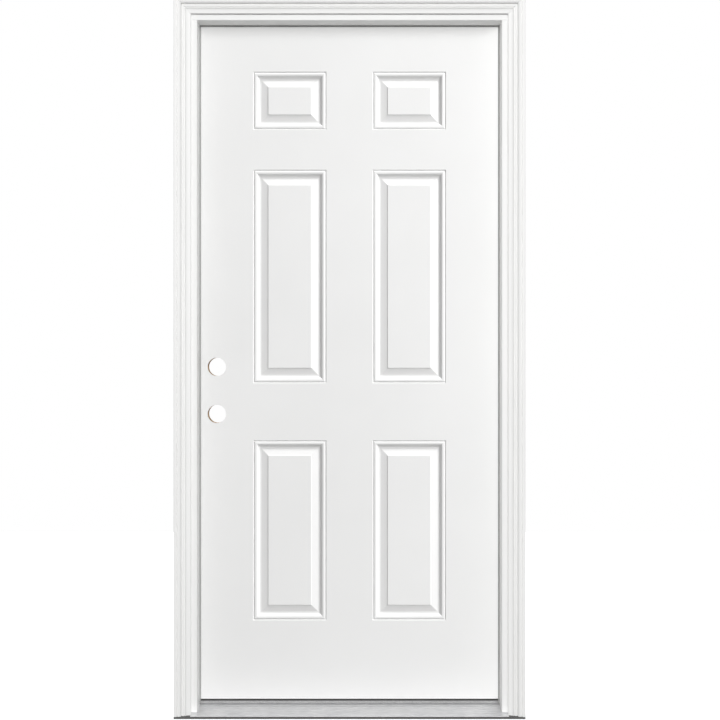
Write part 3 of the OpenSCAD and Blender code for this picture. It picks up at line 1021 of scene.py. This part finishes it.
@dataclass
class Slab:
    """The moving part: two skins round timber edges, a lock block, rails, foam and a sweep."""

    paint: SprayedPaint = SprayedPaint("sprayed_primer_steel", (0.86, 0.86, 0.855))
    timber: SawnTimber = SawnTimber("planed_stile_timber", (0.66, 0.47, 0.27))
    rail_timber: SawnTimber = SawnTimber("planed_rail_timber", (0.63, 0.45, 0.26), Grain.ALONG_X)
    block: LaminatedTimber = LaminatedTimber("laminated_lock_block", (0.58, 0.41, 0.24))
    composite: Composite = Composite("bottom_rail_composite", (0.2, 0.2, 0.19))
    foam: RigidFoam = RigidFoam("insulating_foam", (0.82, 0.72, 0.42))
    sweep: SoftSeal = SoftSeal("sweep_vinyl", (0.45, 0.45, 0.45))

    def build(self) -> bpy.types.Object:
        """Presses both skins and dresses what lies between them.

        Returns:
            The exterior skin's object.
        """
        skins = {}
        for side in Side:
            skin = PressedSkin(side)
            shape = skin.build()
            shape.publish(Body.DOOR, "primed_steel", self.paint, [skin.name()])
            skins[side] = shape.obj
        dress(self.timber, "lock_stile", "hinge_stile")
        dress(self.rail_timber, "top_rail")
        dress(self.block, "lock_block")
        dress(self.composite, "bottom_rail")
        dress(self.foam, "foam_core")
        dress(self.sweep, "door_sweep")
        return skins[Side.EXTERIOR]


def dress(finish: Finish, *nodes: str) -> None:
    """Gives CAD nodes a finish.

    Args:
        finish: What they are made of.
        *nodes: Their names.
    """
    for name in nodes:
        node = frame["nodes"][name]
        for slot in node.material_slots:
            slot.material = finish.material()
        if not node.material_slots:
            node.data.materials.append(finish.material())
        LOG.info("%s is dressed in %s", name, finish.name)


# ---------- The frame ----------


@dataclass
class Brickmould:
    """The moulded trim round the outside: two legs and a head, mitred at the top corners."""

    width: float = 47.6
    thickness: float = 31.8
    joint: float = 0.0002
    ease: float = 0.5
    quirk: float = 3.0
    rebate: Point = (2.2, -3.0)  # how far in from the inner edge, and out from the wall
    leg_finish: PrimedTimber = PrimedTimber("primed_moulding_leg", (0.88, 0.88, 0.872))
    head_finish: PrimedTimber = PrimedTimber(
        "primed_moulding_head", (0.88, 0.88, 0.872), Grain.ALONG_X)

    def section(self) -> list[Point]:
        """Gives the moulding's outline in millimetres: from its inner edge, and from the wall.

        Returns:
            The outline's points.
        """
        w, t = self.width, self.thickness
        in_rebate, out_of_wall = self.rebate
        corners = [(in_rebate, 0), self.rebate, (0, out_of_wall), (0, -0.36 * t)]
        corners += arc((0, -0.57 * t), (0.31 * w, 0.19 * t), 78, 0, 12)
        corners += self.corners(
            (0.33, 0.6, 0), (0.345, 0.6, 1), (0.385, 0.6, 1), (0.4, 0.61, 0),
            (0.5, 0.63, 0), (0.52, 0.63, 1), (0.55, 0.63, 1), (0.56, 0.7, 0))
        corners += arc((0.79 * w, -0.7 * t), (0.23 * w, 0.23 * t), 185, 262, 14)
        corners += self.corners(
            (0.79, 0.93, 0.8), (0.825, 0.93, 0.8), (0.835, 1, 0),
            (0.97, 1, 0), (1, 0.96, 0), (1, 0, 0))
        return soften(corners, self.ease, 3, closed=True)

    def corners(self, *shares: Place) -> list[Point]:
        """Turns shares into millimetres.

        Args:
            *shares: For each corner, its share of the width and of the thickness, and how many
                quirks deep it is sunk.

        Returns:
            The corners.
        """
        return [(u * self.width, self.quirk * sunk - v * self.thickness) for u, v, sunk in shares]

    def leg(self, hand: Hand) -> Shape:
        """Draws one leg and mitres its top.

        Args:
            hand: The side that it stands on.

        Returns:
            The leg.
        """
        low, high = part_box(self.leg_name(hand))
        inner = low.x if hand is Hand.HINGE else high.x
        places = [(inner + hand.value * u * MM, y * MM, low.z) for u, y in self.section()]
        leg = Shape.bar(f"{self.leg_name(hand)}_profile", places, (0, 0, high.z - low.z))
        corner = (inner, 0, high.z - (high.x - low.x) - self.joint)
        leg.saw(corner, (-hand.value, 0, 1))
        leg.smooth()
        return leg

    def leg_name(self, hand: Hand) -> str:
        """Gives the name of a leg's CAD node."""
        return "brickmould_left" if hand is Hand.LATCH else "brickmould_right"

    def head(self) -> Shape:
        """Draws the head and mitres both its ends.

        Returns:
            The head.
        """
        low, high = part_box("brickmould_head")
        places = [(low.x, y * MM, low.z + u * MM) for u, y in self.section()]
        head = Shape.bar("brickmould_head_profile", places, (high.x - low.x, 0, 0))
        for hand in Hand:
            inner = hand.value * (high.x - (high.z - low.z) - self.joint)
            head.saw((inner, 0, low.z), (hand.value, 0, -1))
        head.smooth()
        return head

    def build(self) -> None:
        """Builds the three lengths."""
        slot = "primed_moulding"
        for hand in Hand:
            self.leg(hand).publish(Body.FRAME, slot, self.leg_finish, [self.leg_name(hand)])
        self.head().publish(Body.FRAME, slot, self.head_finish, ["brickmould_head"])


@dataclass
class WeatherStrips:
    """The soft strip that the slab closes on: a barbed stem, a flat leaf and a rounded nose."""

    fit: float = 0.05
    stop: float = 66.7
    kerf_inset: float = 1.6
    kerf_width: float = 3.2
    kerf_depth: float = 11.0
    stem_share: float = 0.9
    barb_shares: Point = (0.3, 0.5)  # depths in the kerf of the stem's waist and of its barb
    tip: float = 0.3
    seal: float = 4.4
    stop_height: float = 12.7
    reach: float = 4.0
    finish: SoftSeal = SoftSeal("weatherstrip_skin", (0.34, 0.34, 0.335), 0.08, 0.6)

    def section(self) -> list[Point]:
        """Gives the strip's outline in millimetres: from the rebate's face, and from the wall.

        Returns:
            The outline's points.
        """
        stem_out = -self.kerf_inset - self.kerf_width + self.fit
        stem_in = -self.kerf_inset - self.fit
        middle = -self.kerf_inset - self.kerf_width / 2
        waist, barb, end = (self.stop - self.kerf_depth * share
                            for share in (*self.barb_shares, self.stem_share))
        radius = self.seal / 2
        nose = radius - self.stop_height - self.reach
        corners = [(-self.fit, self.stop), (-self.fit, self.stop + self.seal)]
        corners += arc((nose, self.stop + radius), (radius, radius), 90, 270, 18)
        corners += [
            (stem_out, self.stop), (stem_out + 4 * self.fit, waist), (stem_out, barb),
            (middle - self.tip, end), (middle + self.tip, end),
            (stem_in, barb), (stem_in - 4 * self.fit, waist), (stem_in, self.stop)]
        return corners

    def build(self) -> None:
        """Draws the three lengths."""
        for hand in Hand:
            name = f"weatherstrip_{hand.name.lower()}"
            low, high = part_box(name)
            rebate = hand.value * (max(abs(low.x), abs(high.x)) + self.fit * MM)
            places = [(rebate + hand.value * u * MM, y * MM, low.z) for u, y in self.section()]
            self.set_in(name, places, (0, 0, high.z - low.z))
        low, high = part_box("weatherstrip_head")
        rebate = high.z + self.fit * MM
        places = [(low.x, y * MM, rebate + u * MM) for u, y in self.section()]
        self.set_in("weatherstrip_head", places, (high.x - low.x, 0, 0))

    def set_in(self, name: str, places: Sequence[Place], run: Place) -> None:
        """Draws one length and hands it to the frame.

        Args:
            name: The CAD node that it stands for.
            places: Its outline at one end.
            run: How far and which way it goes from there.
        """
        strip = Shape.bar(f"{name}_bulb", places, run)
        strip.smooth()
        strip.publish(Body.FRAME, "weatherstrip", self.finish, [name])


@dataclass
class Sill:
    """The threshold: a fluted aluminium deck that slopes outwards, a composite base and the cap."""

    nose: float = -31.8
    nose_height: float = 8.3
    nose_slant: float = 1.2
    back: float = 73.2
    back_height: float = 22.0
    strip: float = 5.8
    deck: float = 2.0
    flutes: int = 5
    pitch: float = 16.0
    flute_depth: float = 1.4
    flute_start: float = -17.0
    flute_steps: int = 16
    land: float = 0.25
    nose_ease: float = 2.0
    cap_step: float = 12.7
    notch_outer: Place = (0.6, 0.2, 0.1)  # in metres: well past the deck all three ways
    notch_under: float = 0.01  # in metres
    cap_slope: Point = (7.0, 5.0)  # how far back and how far down the cap's front slopes
    cap_ease: float = 2.2
    cap_foot: float = 4.0
    aluminium: DrawnMetal = DrawnMetal("mill_aluminium", (0.82, 0.82, 0.83), Grain.ALONG_X, 0.42)
    base: Composite = Composite("sill_base_composite", (0.09, 0.09, 0.09))
    cap: Composite = Composite("sill_cap_composite", (0.36, 0.36, 0.36))

    def top(self, y: float) -> float:
        """Gives the height of the deck's plain slope at a place through the wall."""
        rise = self.back_height - self.nose_height
        return self.nose_height + rise * (y - self.nose) / (self.back - self.nose)

    def deck_section(self) -> list[Point]:
        """Gives the deck's outline in millimetres: through the wall, and up.

        Returns:
            The outline's points.
        """
        under = self.nose + self.deck
        foot = self.nose + self.nose_slant
        line = [(under, self.strip), (foot, self.strip)]
        line += soften([
            (foot, self.strip), (self.nose, self.top(self.nose)),
            (self.flute_start, self.top(self.flute_start))], self.nose_ease, 6)[1:-1]
        for flute in range(self.flutes):
            for step in range(self.flute_steps + 1):
                share = step / self.flute_steps
                across = self.land + (1 - 2 * self.land) * share
                y = self.flute_start + (flute + across) * self.pitch
                line.append((y, self.top(y) - self.flute_depth * math.sin(math.pi * share) ** 2))
        line += [(self.back, self.top(self.back)), (self.back, self.top(self.back) - self.deck)]
        line.append((under, self.top(under) - self.deck))
        return line

    def build(self) -> None:
        """Draws the deck and the cap, and dresses the base."""
        low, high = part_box("sill_deck")
        places = [(low.x, y * MM, z * MM) for y, z in self.deck_section()]
        deck = Shape.bar("sill_deck_flutes", places, (high.x - low.x, 0, 0))
        step_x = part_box("sill_cap")[1].x - self.cap_step * MM
        past, behind, above = self.notch_outer
        for hand in Hand:
            deck.combine(Shape.block(
                "notch", (hand.value * step_x, 0, -self.notch_under),
                (hand.value * past, behind, above)))
        deck.smooth()
        deck.publish(Body.FRAME, "sill_aluminium", self.aluminium, ["sill_deck"])
        low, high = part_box("sill_cap")
        back, drop = self.cap_slope
        corners = [
            (low.y, low.z), (low.y, high.z), (high.y - back * MM, high.z),
            (high.y, high.z - drop * MM), (high.y, low.z)]
        rounded = soften(corners, self.cap_ease * MM, 6, closed=True)
        upper = [point for point in rounded if point[1] > low.z + self.cap_foot * MM]
        places = [(low.x, y, z) for y, z in (corners[0], *upper, corners[-1])]
        cap = Shape.bar("sill_cap_rounded", places, (high.x - low.x, 0, 0))
        cap.smooth()
        cap.publish(Body.FRAME, "cap_composite", self.cap, ["sill_cap"])
        dress(self.base, "sill_base")


@dataclass
class TimberFrame:
    """The jambs, with the trim's nails and the foam pads in the lower corners."""

    side_finish: PrimedTimber = PrimedTimber("primed_side_jamb", (0.87, 0.87, 0.862))
    head_finish: PrimedTimber = PrimedTimber("primed_head_jamb", (0.87, 0.87, 0.862), Grain.ALONG_X)
    nail_finish: DrawnMetal = DrawnMetal("nail_steel", (0.5, 0.5, 0.49), Grain.ALONG_X, 0.4)
    pad_finish: SoftSeal = SoftSeal("corner_pad_foam", (0.03, 0.03, 0.03), 0.2, 0.8)

    def build(self) -> None:
        """Dresses the jambs, nails and corner pads."""
        dress(self.side_finish, "hinge_jamb", "latch_jamb")
        dress(self.head_finish, "head_jamb")
        dress(self.nail_finish, "brickmould_nails")
        dress(self.pad_finish, "corner_pads")


# ---------- Hinges and screws ----------


@dataclass
class WoodScrew:
    """A countersunk screw with a cross recess, modelled head up at the origin."""

    length: float
    head: float = 4.1
    shank: float = 2.0
    tip: float = 4.0
    recess: float = 2.0
    recess_width: float = 1.0
    recess_reach: float = 1.1  # as a share of the head's radius
    recess_taper: float = 0.35
    rim: float = 0.25
    point: float = 0.12
    sides: int = 40

    def build(self) -> Shape:
        """Draws the head, pulls the shank out of it and sinks the recess.

        Returns:
            The screw.
        """
        bpy.ops.object.select_all(action="DESELECT")
        sink = (self.head - self.shank) * MM
        bpy.ops.mesh.primitive_cone_add(
            vertices=self.sides, radius1=self.shank * MM, radius2=self.head * MM, depth=sink,
            location=(0, 0, -sink / 2))
        screw = Shape("screw")
        with screw.editing():
            screw.pick("FACE", lambda f: f.normal.z < -0.99)
            screw.extrude((0, 0, sink - (self.length - self.tip) * MM))
            screw.extrude((0, 0, -self.tip * MM))
            bpy.ops.transform.resize(value=(self.point, self.point, 1))
        screw.ease(self.rim * MM, 2, lambda e: all(abs(v.co.z) < NEAR for v in e.verts))
        for turn in (0, math.pi / 2):
            bpy.ops.object.select_all(action="DESELECT")
            bpy.ops.mesh.primitive_cube_add(size=1, location=(0, 0, 0), rotation=(0, 0, turn))
            bpy.context.active_object.scale = (
                self.head * self.recess_reach * MM, self.recess_width * MM, 2 * self.recess * MM)
            cutter = Shape("driver_blade")
            with cutter.editing():
                cutter.pick("FACE", lambda f: f.normal.z < -0.99)
                bpy.ops.transform.resize(value=(self.recess_taper, self.recess_taper, 1))
            screw.combine(cutter)
        screw.smooth()
        return screw


@dataclass
class Fasteners:
    """Screws that are modelled once and copied to each hole, with places in the corners."""

    length: float = 62.0
    below_top: float = 15.9
    below_top_in_rebate: float = 9.55
    above_floor: float = 7.5
    outer_share: float = 0.16
    middle_share: float = 0.4
    rebate_share: float = 0.8
    sill_share: float = 0.22
    first_turn: float = 0.35
    turn_step: float = 0.9
    finish: DrawnMetal = DrawnMetal("zinc_screw_steel", (0.7, 0.7, 0.69), Grain.ALONG_X, 0.3)

    def spread(self, node: str, length: float, body: Body,
               places: Sequence[tuple[Place, float]]) -> None:
        """Copies a screw to each of its places and joins the copies into one piece.

        Args:
            node: The CAD node that the screws stand for.
            length: Their length, in millimetres.
            body: The body that they ride on.
            places: Each head's middle, and the sign of X that it faces.
        """
        pattern = WoodScrew(length).build()
        copies = []
        for i, (place, facing) in enumerate(places):
            screw = pattern.copy(f"{node}_{i}")
            screw.place_at((0, 0, 0), (0, 0, self.first_turn + self.turn_step * i))
            screw.place_at(place, (0, facing * math.pi / 2, 0))
            copies.append(screw)
        bpy.data.objects.remove(pattern.obj)
        copies[0].absorb(copies[1:])
        copies[0].obj.name = f"{node}_cross_head"
        copies[0].publish(body, "screw_steel", self.finish, [node])

    def build(self) -> None:
        """Sets the screws that hold the frame's corners together."""
        outside, deep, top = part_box("hinge_jamb")[1]
        under_head, floor = top - self.below_top * MM, self.above_floor * MM
        for node, levels in (
                ("frame_corner_screws", (
                    (self.outer_share, under_head), (self.middle_share, under_head),
                    (self.rebate_share, top - self.below_top_in_rebate * MM))),
                ("sill_corner_screws", ((self.sill_share, floor), (self.rebate_share, floor)))):
            places = [((hand.value * outside, deep * share, z), hand.value)
                      for hand in Hand for share, z in levels]
            self.spread(node, self.length, Body.FRAME, places)


@dataclass
class ButtHinges:
    """Three butt hinges: a leaf on the jamb, one on the slab, and a loose pin in five knuckles."""

    names: tuple[str, ...] = ("upper", "middle", "lower")
    leaf: float = 34.0
    thickness: float = 2.2
    corner: float = 9.5
    height: float = 101.6
    barrel: float = 6.35
    pin: float = 3.9
    fit: float = 0.05
    knuckles: int = 5
    gap: float = 0.4
    face_gap: float = 0.5
    # Each screw: how far from the leaf's rounded edge, and its share of half the height.
    screws: tuple[Point, ...] = ((22, 0.76), (11, 0.28), (22, -0.28), (11, -0.76))
    sink: float = 3.0
    sink_rise: float = 1.0
    plate_ease: float = 0.3
    knuckle_ease: float = 0.4
    pin_tail: float = 1.5
    pin_tail_ease: float = 0.8
    button: float = 0.86
    button_rim: float = 1.6
    # Each step of the button's crown: its rise, and the share of the width that it leaves.
    button_crown: tuple[Point, ...] = ((0.9, 0.86), (0.45, 0.7), (0.22, 0.4))
    crease: float = math.radians(24)
    pin_crease: float = math.radians(30)
    jamb_screw: float = 17.0
    slab_screw: float = 28.0
    finish: DrawnMetal = DrawnMetal("satin_nickel_hinge", (0.66, 0.655, 0.64), Grain.ALONG_Z, 0.28)

    def axis(self) -> Point:
        """Gives the pin's X and Y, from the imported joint."""
        x, y, _ = frame["joints"][0]["pos_m"]
        return x, y

    def back(self) -> float:
        """Gives the Y of the jamb's inside edge, which the leaves end on."""
        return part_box("hinge_jamb")[1].y

    def tall(self) -> float:
        """Gives the height of one knuckle, in millimetres."""
        return (self.height - (self.knuckles - 1) * self.gap) / self.knuckles

    def plate(self, name: str, face_x: float, inward: float) -> Shape:
        """Cuts a leaf's flat plate and rounds its far corners.

        Args:
            name: The plate's name.
            face_x: Where its outside face is.
            inward: The sign of X that its thickness runs in.

        Returns:
            The plate, standing about a height of nought.
        """
        back, half, radius = self.back(), self.height / 2 * MM, self.corner * MM
        far = back - self.leaf * MM
        rounded = arc((far + radius, half - radius), (radius, radius), 90, 180, 10)
        line = [(back, -half), (back, half), *rounded, *((y, -z) for y, z in reversed(rounded))]
        places = [(face_x, y, z) for y, z in line]
        plate = Shape.bar(name, places, (inward * self.thickness * MM, 0, 0))
        plate.ease(self.plate_ease * MM, 2, lambda e: all(
            abs(v.co.x - face_x) < NEAR for v in e.verts) and any(
            v.co.y < back - NEAR for v in e.verts))
        return plate

    def sinks(self, plate: Shape, face_x: float, inward: float) -> None:
        """Sinks the plate's countersunk holes.

        Args:
            plate: The plate, which is cut.
            face_x: Where its outside face is.
            inward: The sign of X that its thickness runs in.
        """
        mouth = WoodScrew.head + self.fit
        x = face_x + inward * (self.sink - self.sink_rise) / 2 * MM
        for y, z in self.holes():
            bpy.ops.object.select_all(action="DESELECT")
            bpy.ops.mesh.primitive_cone_add(
                vertices=WoodScrew.sides, radius1=(mouth - self.sink) * MM,
                radius2=(mouth + self.sink_rise) * MM, depth=(self.sink + self.sink_rise) * MM,
                location=(x, y, z), rotation=(0, -inward * math.pi / 2, 0))
            plate.combine(Shape("countersink"))

    def holes(self) -> list[Point]:
        """Gives the Y and Z of a leaf's screws, about a height of nought."""
        return [(self.back() + (edge - self.leaf) * MM, share * self.height / 2 * MM)
                for edge, share in self.screws]

    def knuckle(self, level: float, web_x: float) -> Shape:
        """Rolls one knuckle and the web that joins it to its leaf.

        Args:
            level: Height of its lower end.
            web_x: Lower X of its web.

        Returns:
            The knuckle, bored for the pin.
        """
        x, y = self.axis()
        tall, slack = self.tall() * MM, self.fit * MM
        middle = (x, y, level + tall / 2)
        barrel = Shape.rod("knuckle", self.barrel * MM, tall, middle)
        barrel.ease(self.knuckle_ease * MM, 2,
                    lambda e: abs(e.verts[0].co.z - e.verts[1].co.z) < NEAR)
        web = Shape.block("web", (web_x, self.back() - self.face_gap * MM, level + slack),
                          (web_x + self.thickness * MM, y, level + tall - slack))
        barrel.combine(web, "UNION")
        barrel.combine(Shape.rod("pin_bore", (self.pin + self.fit) * MM, 2 * tall, middle))
        return barrel

    def leaf_shape(self, name: str, plate_low_x: float, face_x: float, inward: float,
                   first: int) -> Shape:
        """Builds one leaf with its knuckles, about a height of nought.

        Args:
            name: The leaf's name.
            plate_low_x: Lower X of its plate.
            face_x: Where the plate's outside face is.
            inward: The sign of X that the plate's thickness runs in.
            first: The lowest of its knuckles, which takes every other one.

        Returns:
            The leaf.
        """
        leaf = self.plate(name, face_x, inward)
        self.sinks(leaf, face_x, inward)
        for i in range(first, self.knuckles, 2):
            level = (i * (self.tall() + self.gap) - self.height / 2) * MM
            leaf.combine(self.knuckle(level, plate_low_x), "UNION")
        leaf.smooth(self.crease)
        return leaf

    def pin_shape(self) -> Shape:
        """Turns the pin, with its button head and rounded tip.

        Returns:
            The pin.
        """
        x, y = self.axis()
        top, foot = self.height / 2 * MM, -(self.height / 2 + self.pin_tail) * MM
        pin = Shape.rod("hinge_pin", self.pin * MM, top - foot, (x, y, (top + foot) / 2), sides=48)
        with pin.editing():
            pin.pick("FACE", lambda f: f.normal.z > 0.99)
            grow = self.barrel * self.button / self.pin
            bpy.ops.mesh.extrude_region_move()
            bpy.ops.transform.resize(value=(grow, grow, 1), center_override=(x, y, top))
            pin.extrude((0, 0, self.button_rim * MM))
            for rise, share in self.button_crown:
                pin.extrude((0, 0, rise * MM))
                bpy.ops.transform.resize(value=(share, share, 1), center_override=(x, y, 0))
        pin.ease(self.pin_tail_ease * MM, 3,
                 lambda e: all(abs(v.co.z - foot) < NEAR for v in e.verts))
        pin.smooth(self.pin_crease)
        return pin

    def build(self, fasteners: Fasteners) -> None:
        """Models each kind of piece once, and copies it to the three hinges.

        Args:
            fasteners: What sets the hinges' screws.
        """
        slab_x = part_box("exterior_skin")[1].x
        rebate_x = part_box("weatherstrip_hinge")[1].x + self.fit * MM
        jamb_leaf = self.leaf_shape("jamb_leaf", rebate_x, rebate_x, 1, 0)
        door_leaf = self.leaf_shape("door_leaf", slab_x - self.thickness * MM, slab_x, -1, 1)
        pin = self.pin_shape()
        levels = []
        for name in self.names:
            low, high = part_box(f"{name}_jamb_leaf")
            level = (low.z + high.z) / 2
            levels.append(level)
            for shape, kind, body in (
                    (jamb_leaf, "jamb_leaf", Body.FRAME), (door_leaf, "door_leaf", Body.DOOR),
                    (pin, "hinge_pin", Body.FRAME)):
                copy = shape.copy(f"{name}_{kind}_plated", (0, 0, level))
                copy.publish(body, "hinge_steel", self.finish, [f"{name}_{kind}"])
        for shape in (jamb_leaf, door_leaf, pin):
            bpy.data.objects.remove(shape.obj)
        for node, length, face_x, facing, body in (
                ("jamb_leaf_screws", self.jamb_screw, rebate_x, -1, Body.FRAME),
                ("door_leaf_screws", self.slab_screw, slab_x, 1, Body.DOOR)):
            places = [((face_x, y, level + z), facing) for level in levels for y, z in self.holes()]
            fasteners.spread(node, length, body, places)


# ---------- Setting ----------


@dataclass(frozen=True)
class SoftBox:
    """A square soft light that looks at the middle of the door."""

    name: str
    power: float
    place: Place
    size: float

    def hang(self) -> bpy.types.Object:
        """Hangs the light.

        Returns:
            The light.
        """
        bpy.ops.object.light_add(type="AREA", location=self.place)
        lamp = bpy.context.active_object
        lamp.name = self.name
        lamp.data.energy = self.power
        lamp.data.size = self.size
        middle = Vector((0, 0, (CAD_BOX[0][2] + CAD_BOX[1][2]) / 2))
        lamp.rotation_euler = (middle - Vector(self.place)).to_track_quat("-Z", "Y").to_euler()
        return lamp


@dataclass
class Studio:
    """A plain pale floor, soft lights and the camera."""

    floor_size: float = 9.0
    floor_glow: float = 0.5
    floor_level: float = -0.0002
    camera_place: Place = (0.0, -4.2286, 1.04)
    lens: float = 72.45
    shift: float = 0.0146
    sensor: float = 36.0
    sky: float = 0.46
    ground: float = 0.14
    horizon: float = 0.25
    backdrop: float = 1.0
    front: SoftBox = SoftBox("front_box", 378.0, (0.4, -7.0, 3.0), 2.0)
    fill: SoftBox = SoftBox("fill_box", 418.0, (5.2, -5.7, 3.15), 4.3)
    relief: SoftBox = SoftBox("relief_box", 1010.0, (5.2, -4.1, 11.0), 3.0)
    rear: SoftBox = SoftBox("rear_box", 190.0, (-2.2, 5.0, 3.4), 3.5)

    def build(self, face: bpy.types.Object) -> None:
        """Lays the floor, hangs the lights and stands the camera.

        Args:
            face: The slab's exterior face, which has a raking light and a fill of its own.
        """
        bpy.context.scene.view_settings.view_transform = "Standard"
        self.floor()
        self.world()
        front, fill, relief = self.front.hang(), self.fill.hang(), self.relief.hang()
        self.rear.hang()
        alone, others, shades = (bpy.data.collections.new(name) for name in (
            "slab_face", "all_but_slab_face", "what_shades_the_slab"))
        for group in (alone, others, shades):
            group.objects.link(face)
        shades.objects.link(frame["nodes"]["head_jamb"])
        others.collection_objects[0].light_linking.link_state = "EXCLUDE"
        relief.light_linking.receiver_collection = alone
        relief.light_linking.blocker_collection = alone
        fill.light_linking.receiver_collection = alone
        fill.light_linking.blocker_collection = shades
        front.light_linking.receiver_collection = others
        self.camera()

    def floor(self) -> None:
        """Lays a plain pale floor under the sill."""
        bpy.ops.object.select_all(action="DESELECT")
        bpy.ops.mesh.primitive_plane_add(size=self.floor_size, location=(0, 0, self.floor_level))
        floor = bpy.context.active_object
        floor.name = "floor"
        board = Board("pale_floor")
        cloud = board.noise(0.4, 2)
        colour = board.blend(cloud, [(0.3, (0.9, 0.9, 0.9)), (0.7, (0.92, 0.92, 0.92))])
        rough = board.span(cloud, 0.85, 0.9)
        board.shape(specular_ior_level=0.1, emission_strength=self.floor_glow)
        board.shader.inputs["Emission Color"].default_value = (*WHITE, 1)
        board.join(colour, board.shader.inputs["Base Color"])
        board.join(rough, board.shader.inputs["Roughness"])
        floor.data.materials.append(board.material)
        floor.visible_diffuse = False

    def world(self) -> None:
        """Lights the room evenly, and shows the camera a white surround."""
        world = bpy.data.worlds.new("studio")
        bpy.context.scene.world = world
        world.use_nodes = True
        nodes, links = world.node_tree.nodes, world.node_tree.links
        nodes.clear()
        soft, white = nodes.new("ShaderNodeBackground"), nodes.new("ShaderNodeBackground")
        ways, split, fade = (nodes.new(kind) for kind in (
            "ShaderNodeTexCoord", "ShaderNodeSeparateXYZ", "ShaderNodeMapRange"))
        for end, value in (("From Min", -self.horizon), ("From Max", self.horizon),
                           ("To Min", self.ground), ("To Max", self.sky)):
            fade.inputs[end].default_value = value
        links.new(ways.outputs["Generated"], split.inputs["Vector"])
        links.new(split.outputs["Z"], fade.inputs["Value"])
        links.new(fade.outputs["Result"], soft.inputs["Strength"])
        soft.inputs["Color"].default_value = white.inputs["Color"].default_value = (*WHITE, 1)
        white.inputs["Strength"].default_value = self.backdrop
        ray, mix, out = (nodes.new(kind) for kind in (
            "ShaderNodeLightPath", "ShaderNodeMixShader", "ShaderNodeOutputWorld"))
        links.new(ray.outputs["Is Camera Ray"], mix.inputs["Fac"])
        links.new(soft.outputs["Background"], mix.inputs[1])
        links.new(white.outputs["Background"], mix.inputs[2])
        links.new(mix.outputs["Shader"], out.inputs["Surface"])

    def camera(self) -> None:
        """Stands the camera level, straight in front of the door."""
        bpy.ops.object.camera_add(location=self.camera_place, rotation=(math.pi / 2, 0, 0))
        camera = bpy.context.active_object
        camera.data.lens = self.lens
        camera.data.sensor_width = self.sensor
        camera.data.shift_x = self.shift
        bpy.context.scene.camera = camera


def main() -> None:
    """Builds the door, its frame and the studio, in order."""
    logging.basicConfig(level=logging.INFO, format="%(name)s: %(message)s")
    face = Slab().build()
    TimberFrame().build()
    Brickmould().build()
    WeatherStrips().build()
    Sill().build()
    fasteners = Fasteners()
    fasteners.build()
    ButtHinges().build(fasteners)
    Studio().build(face)


if __name__ == "__main__":
    main()
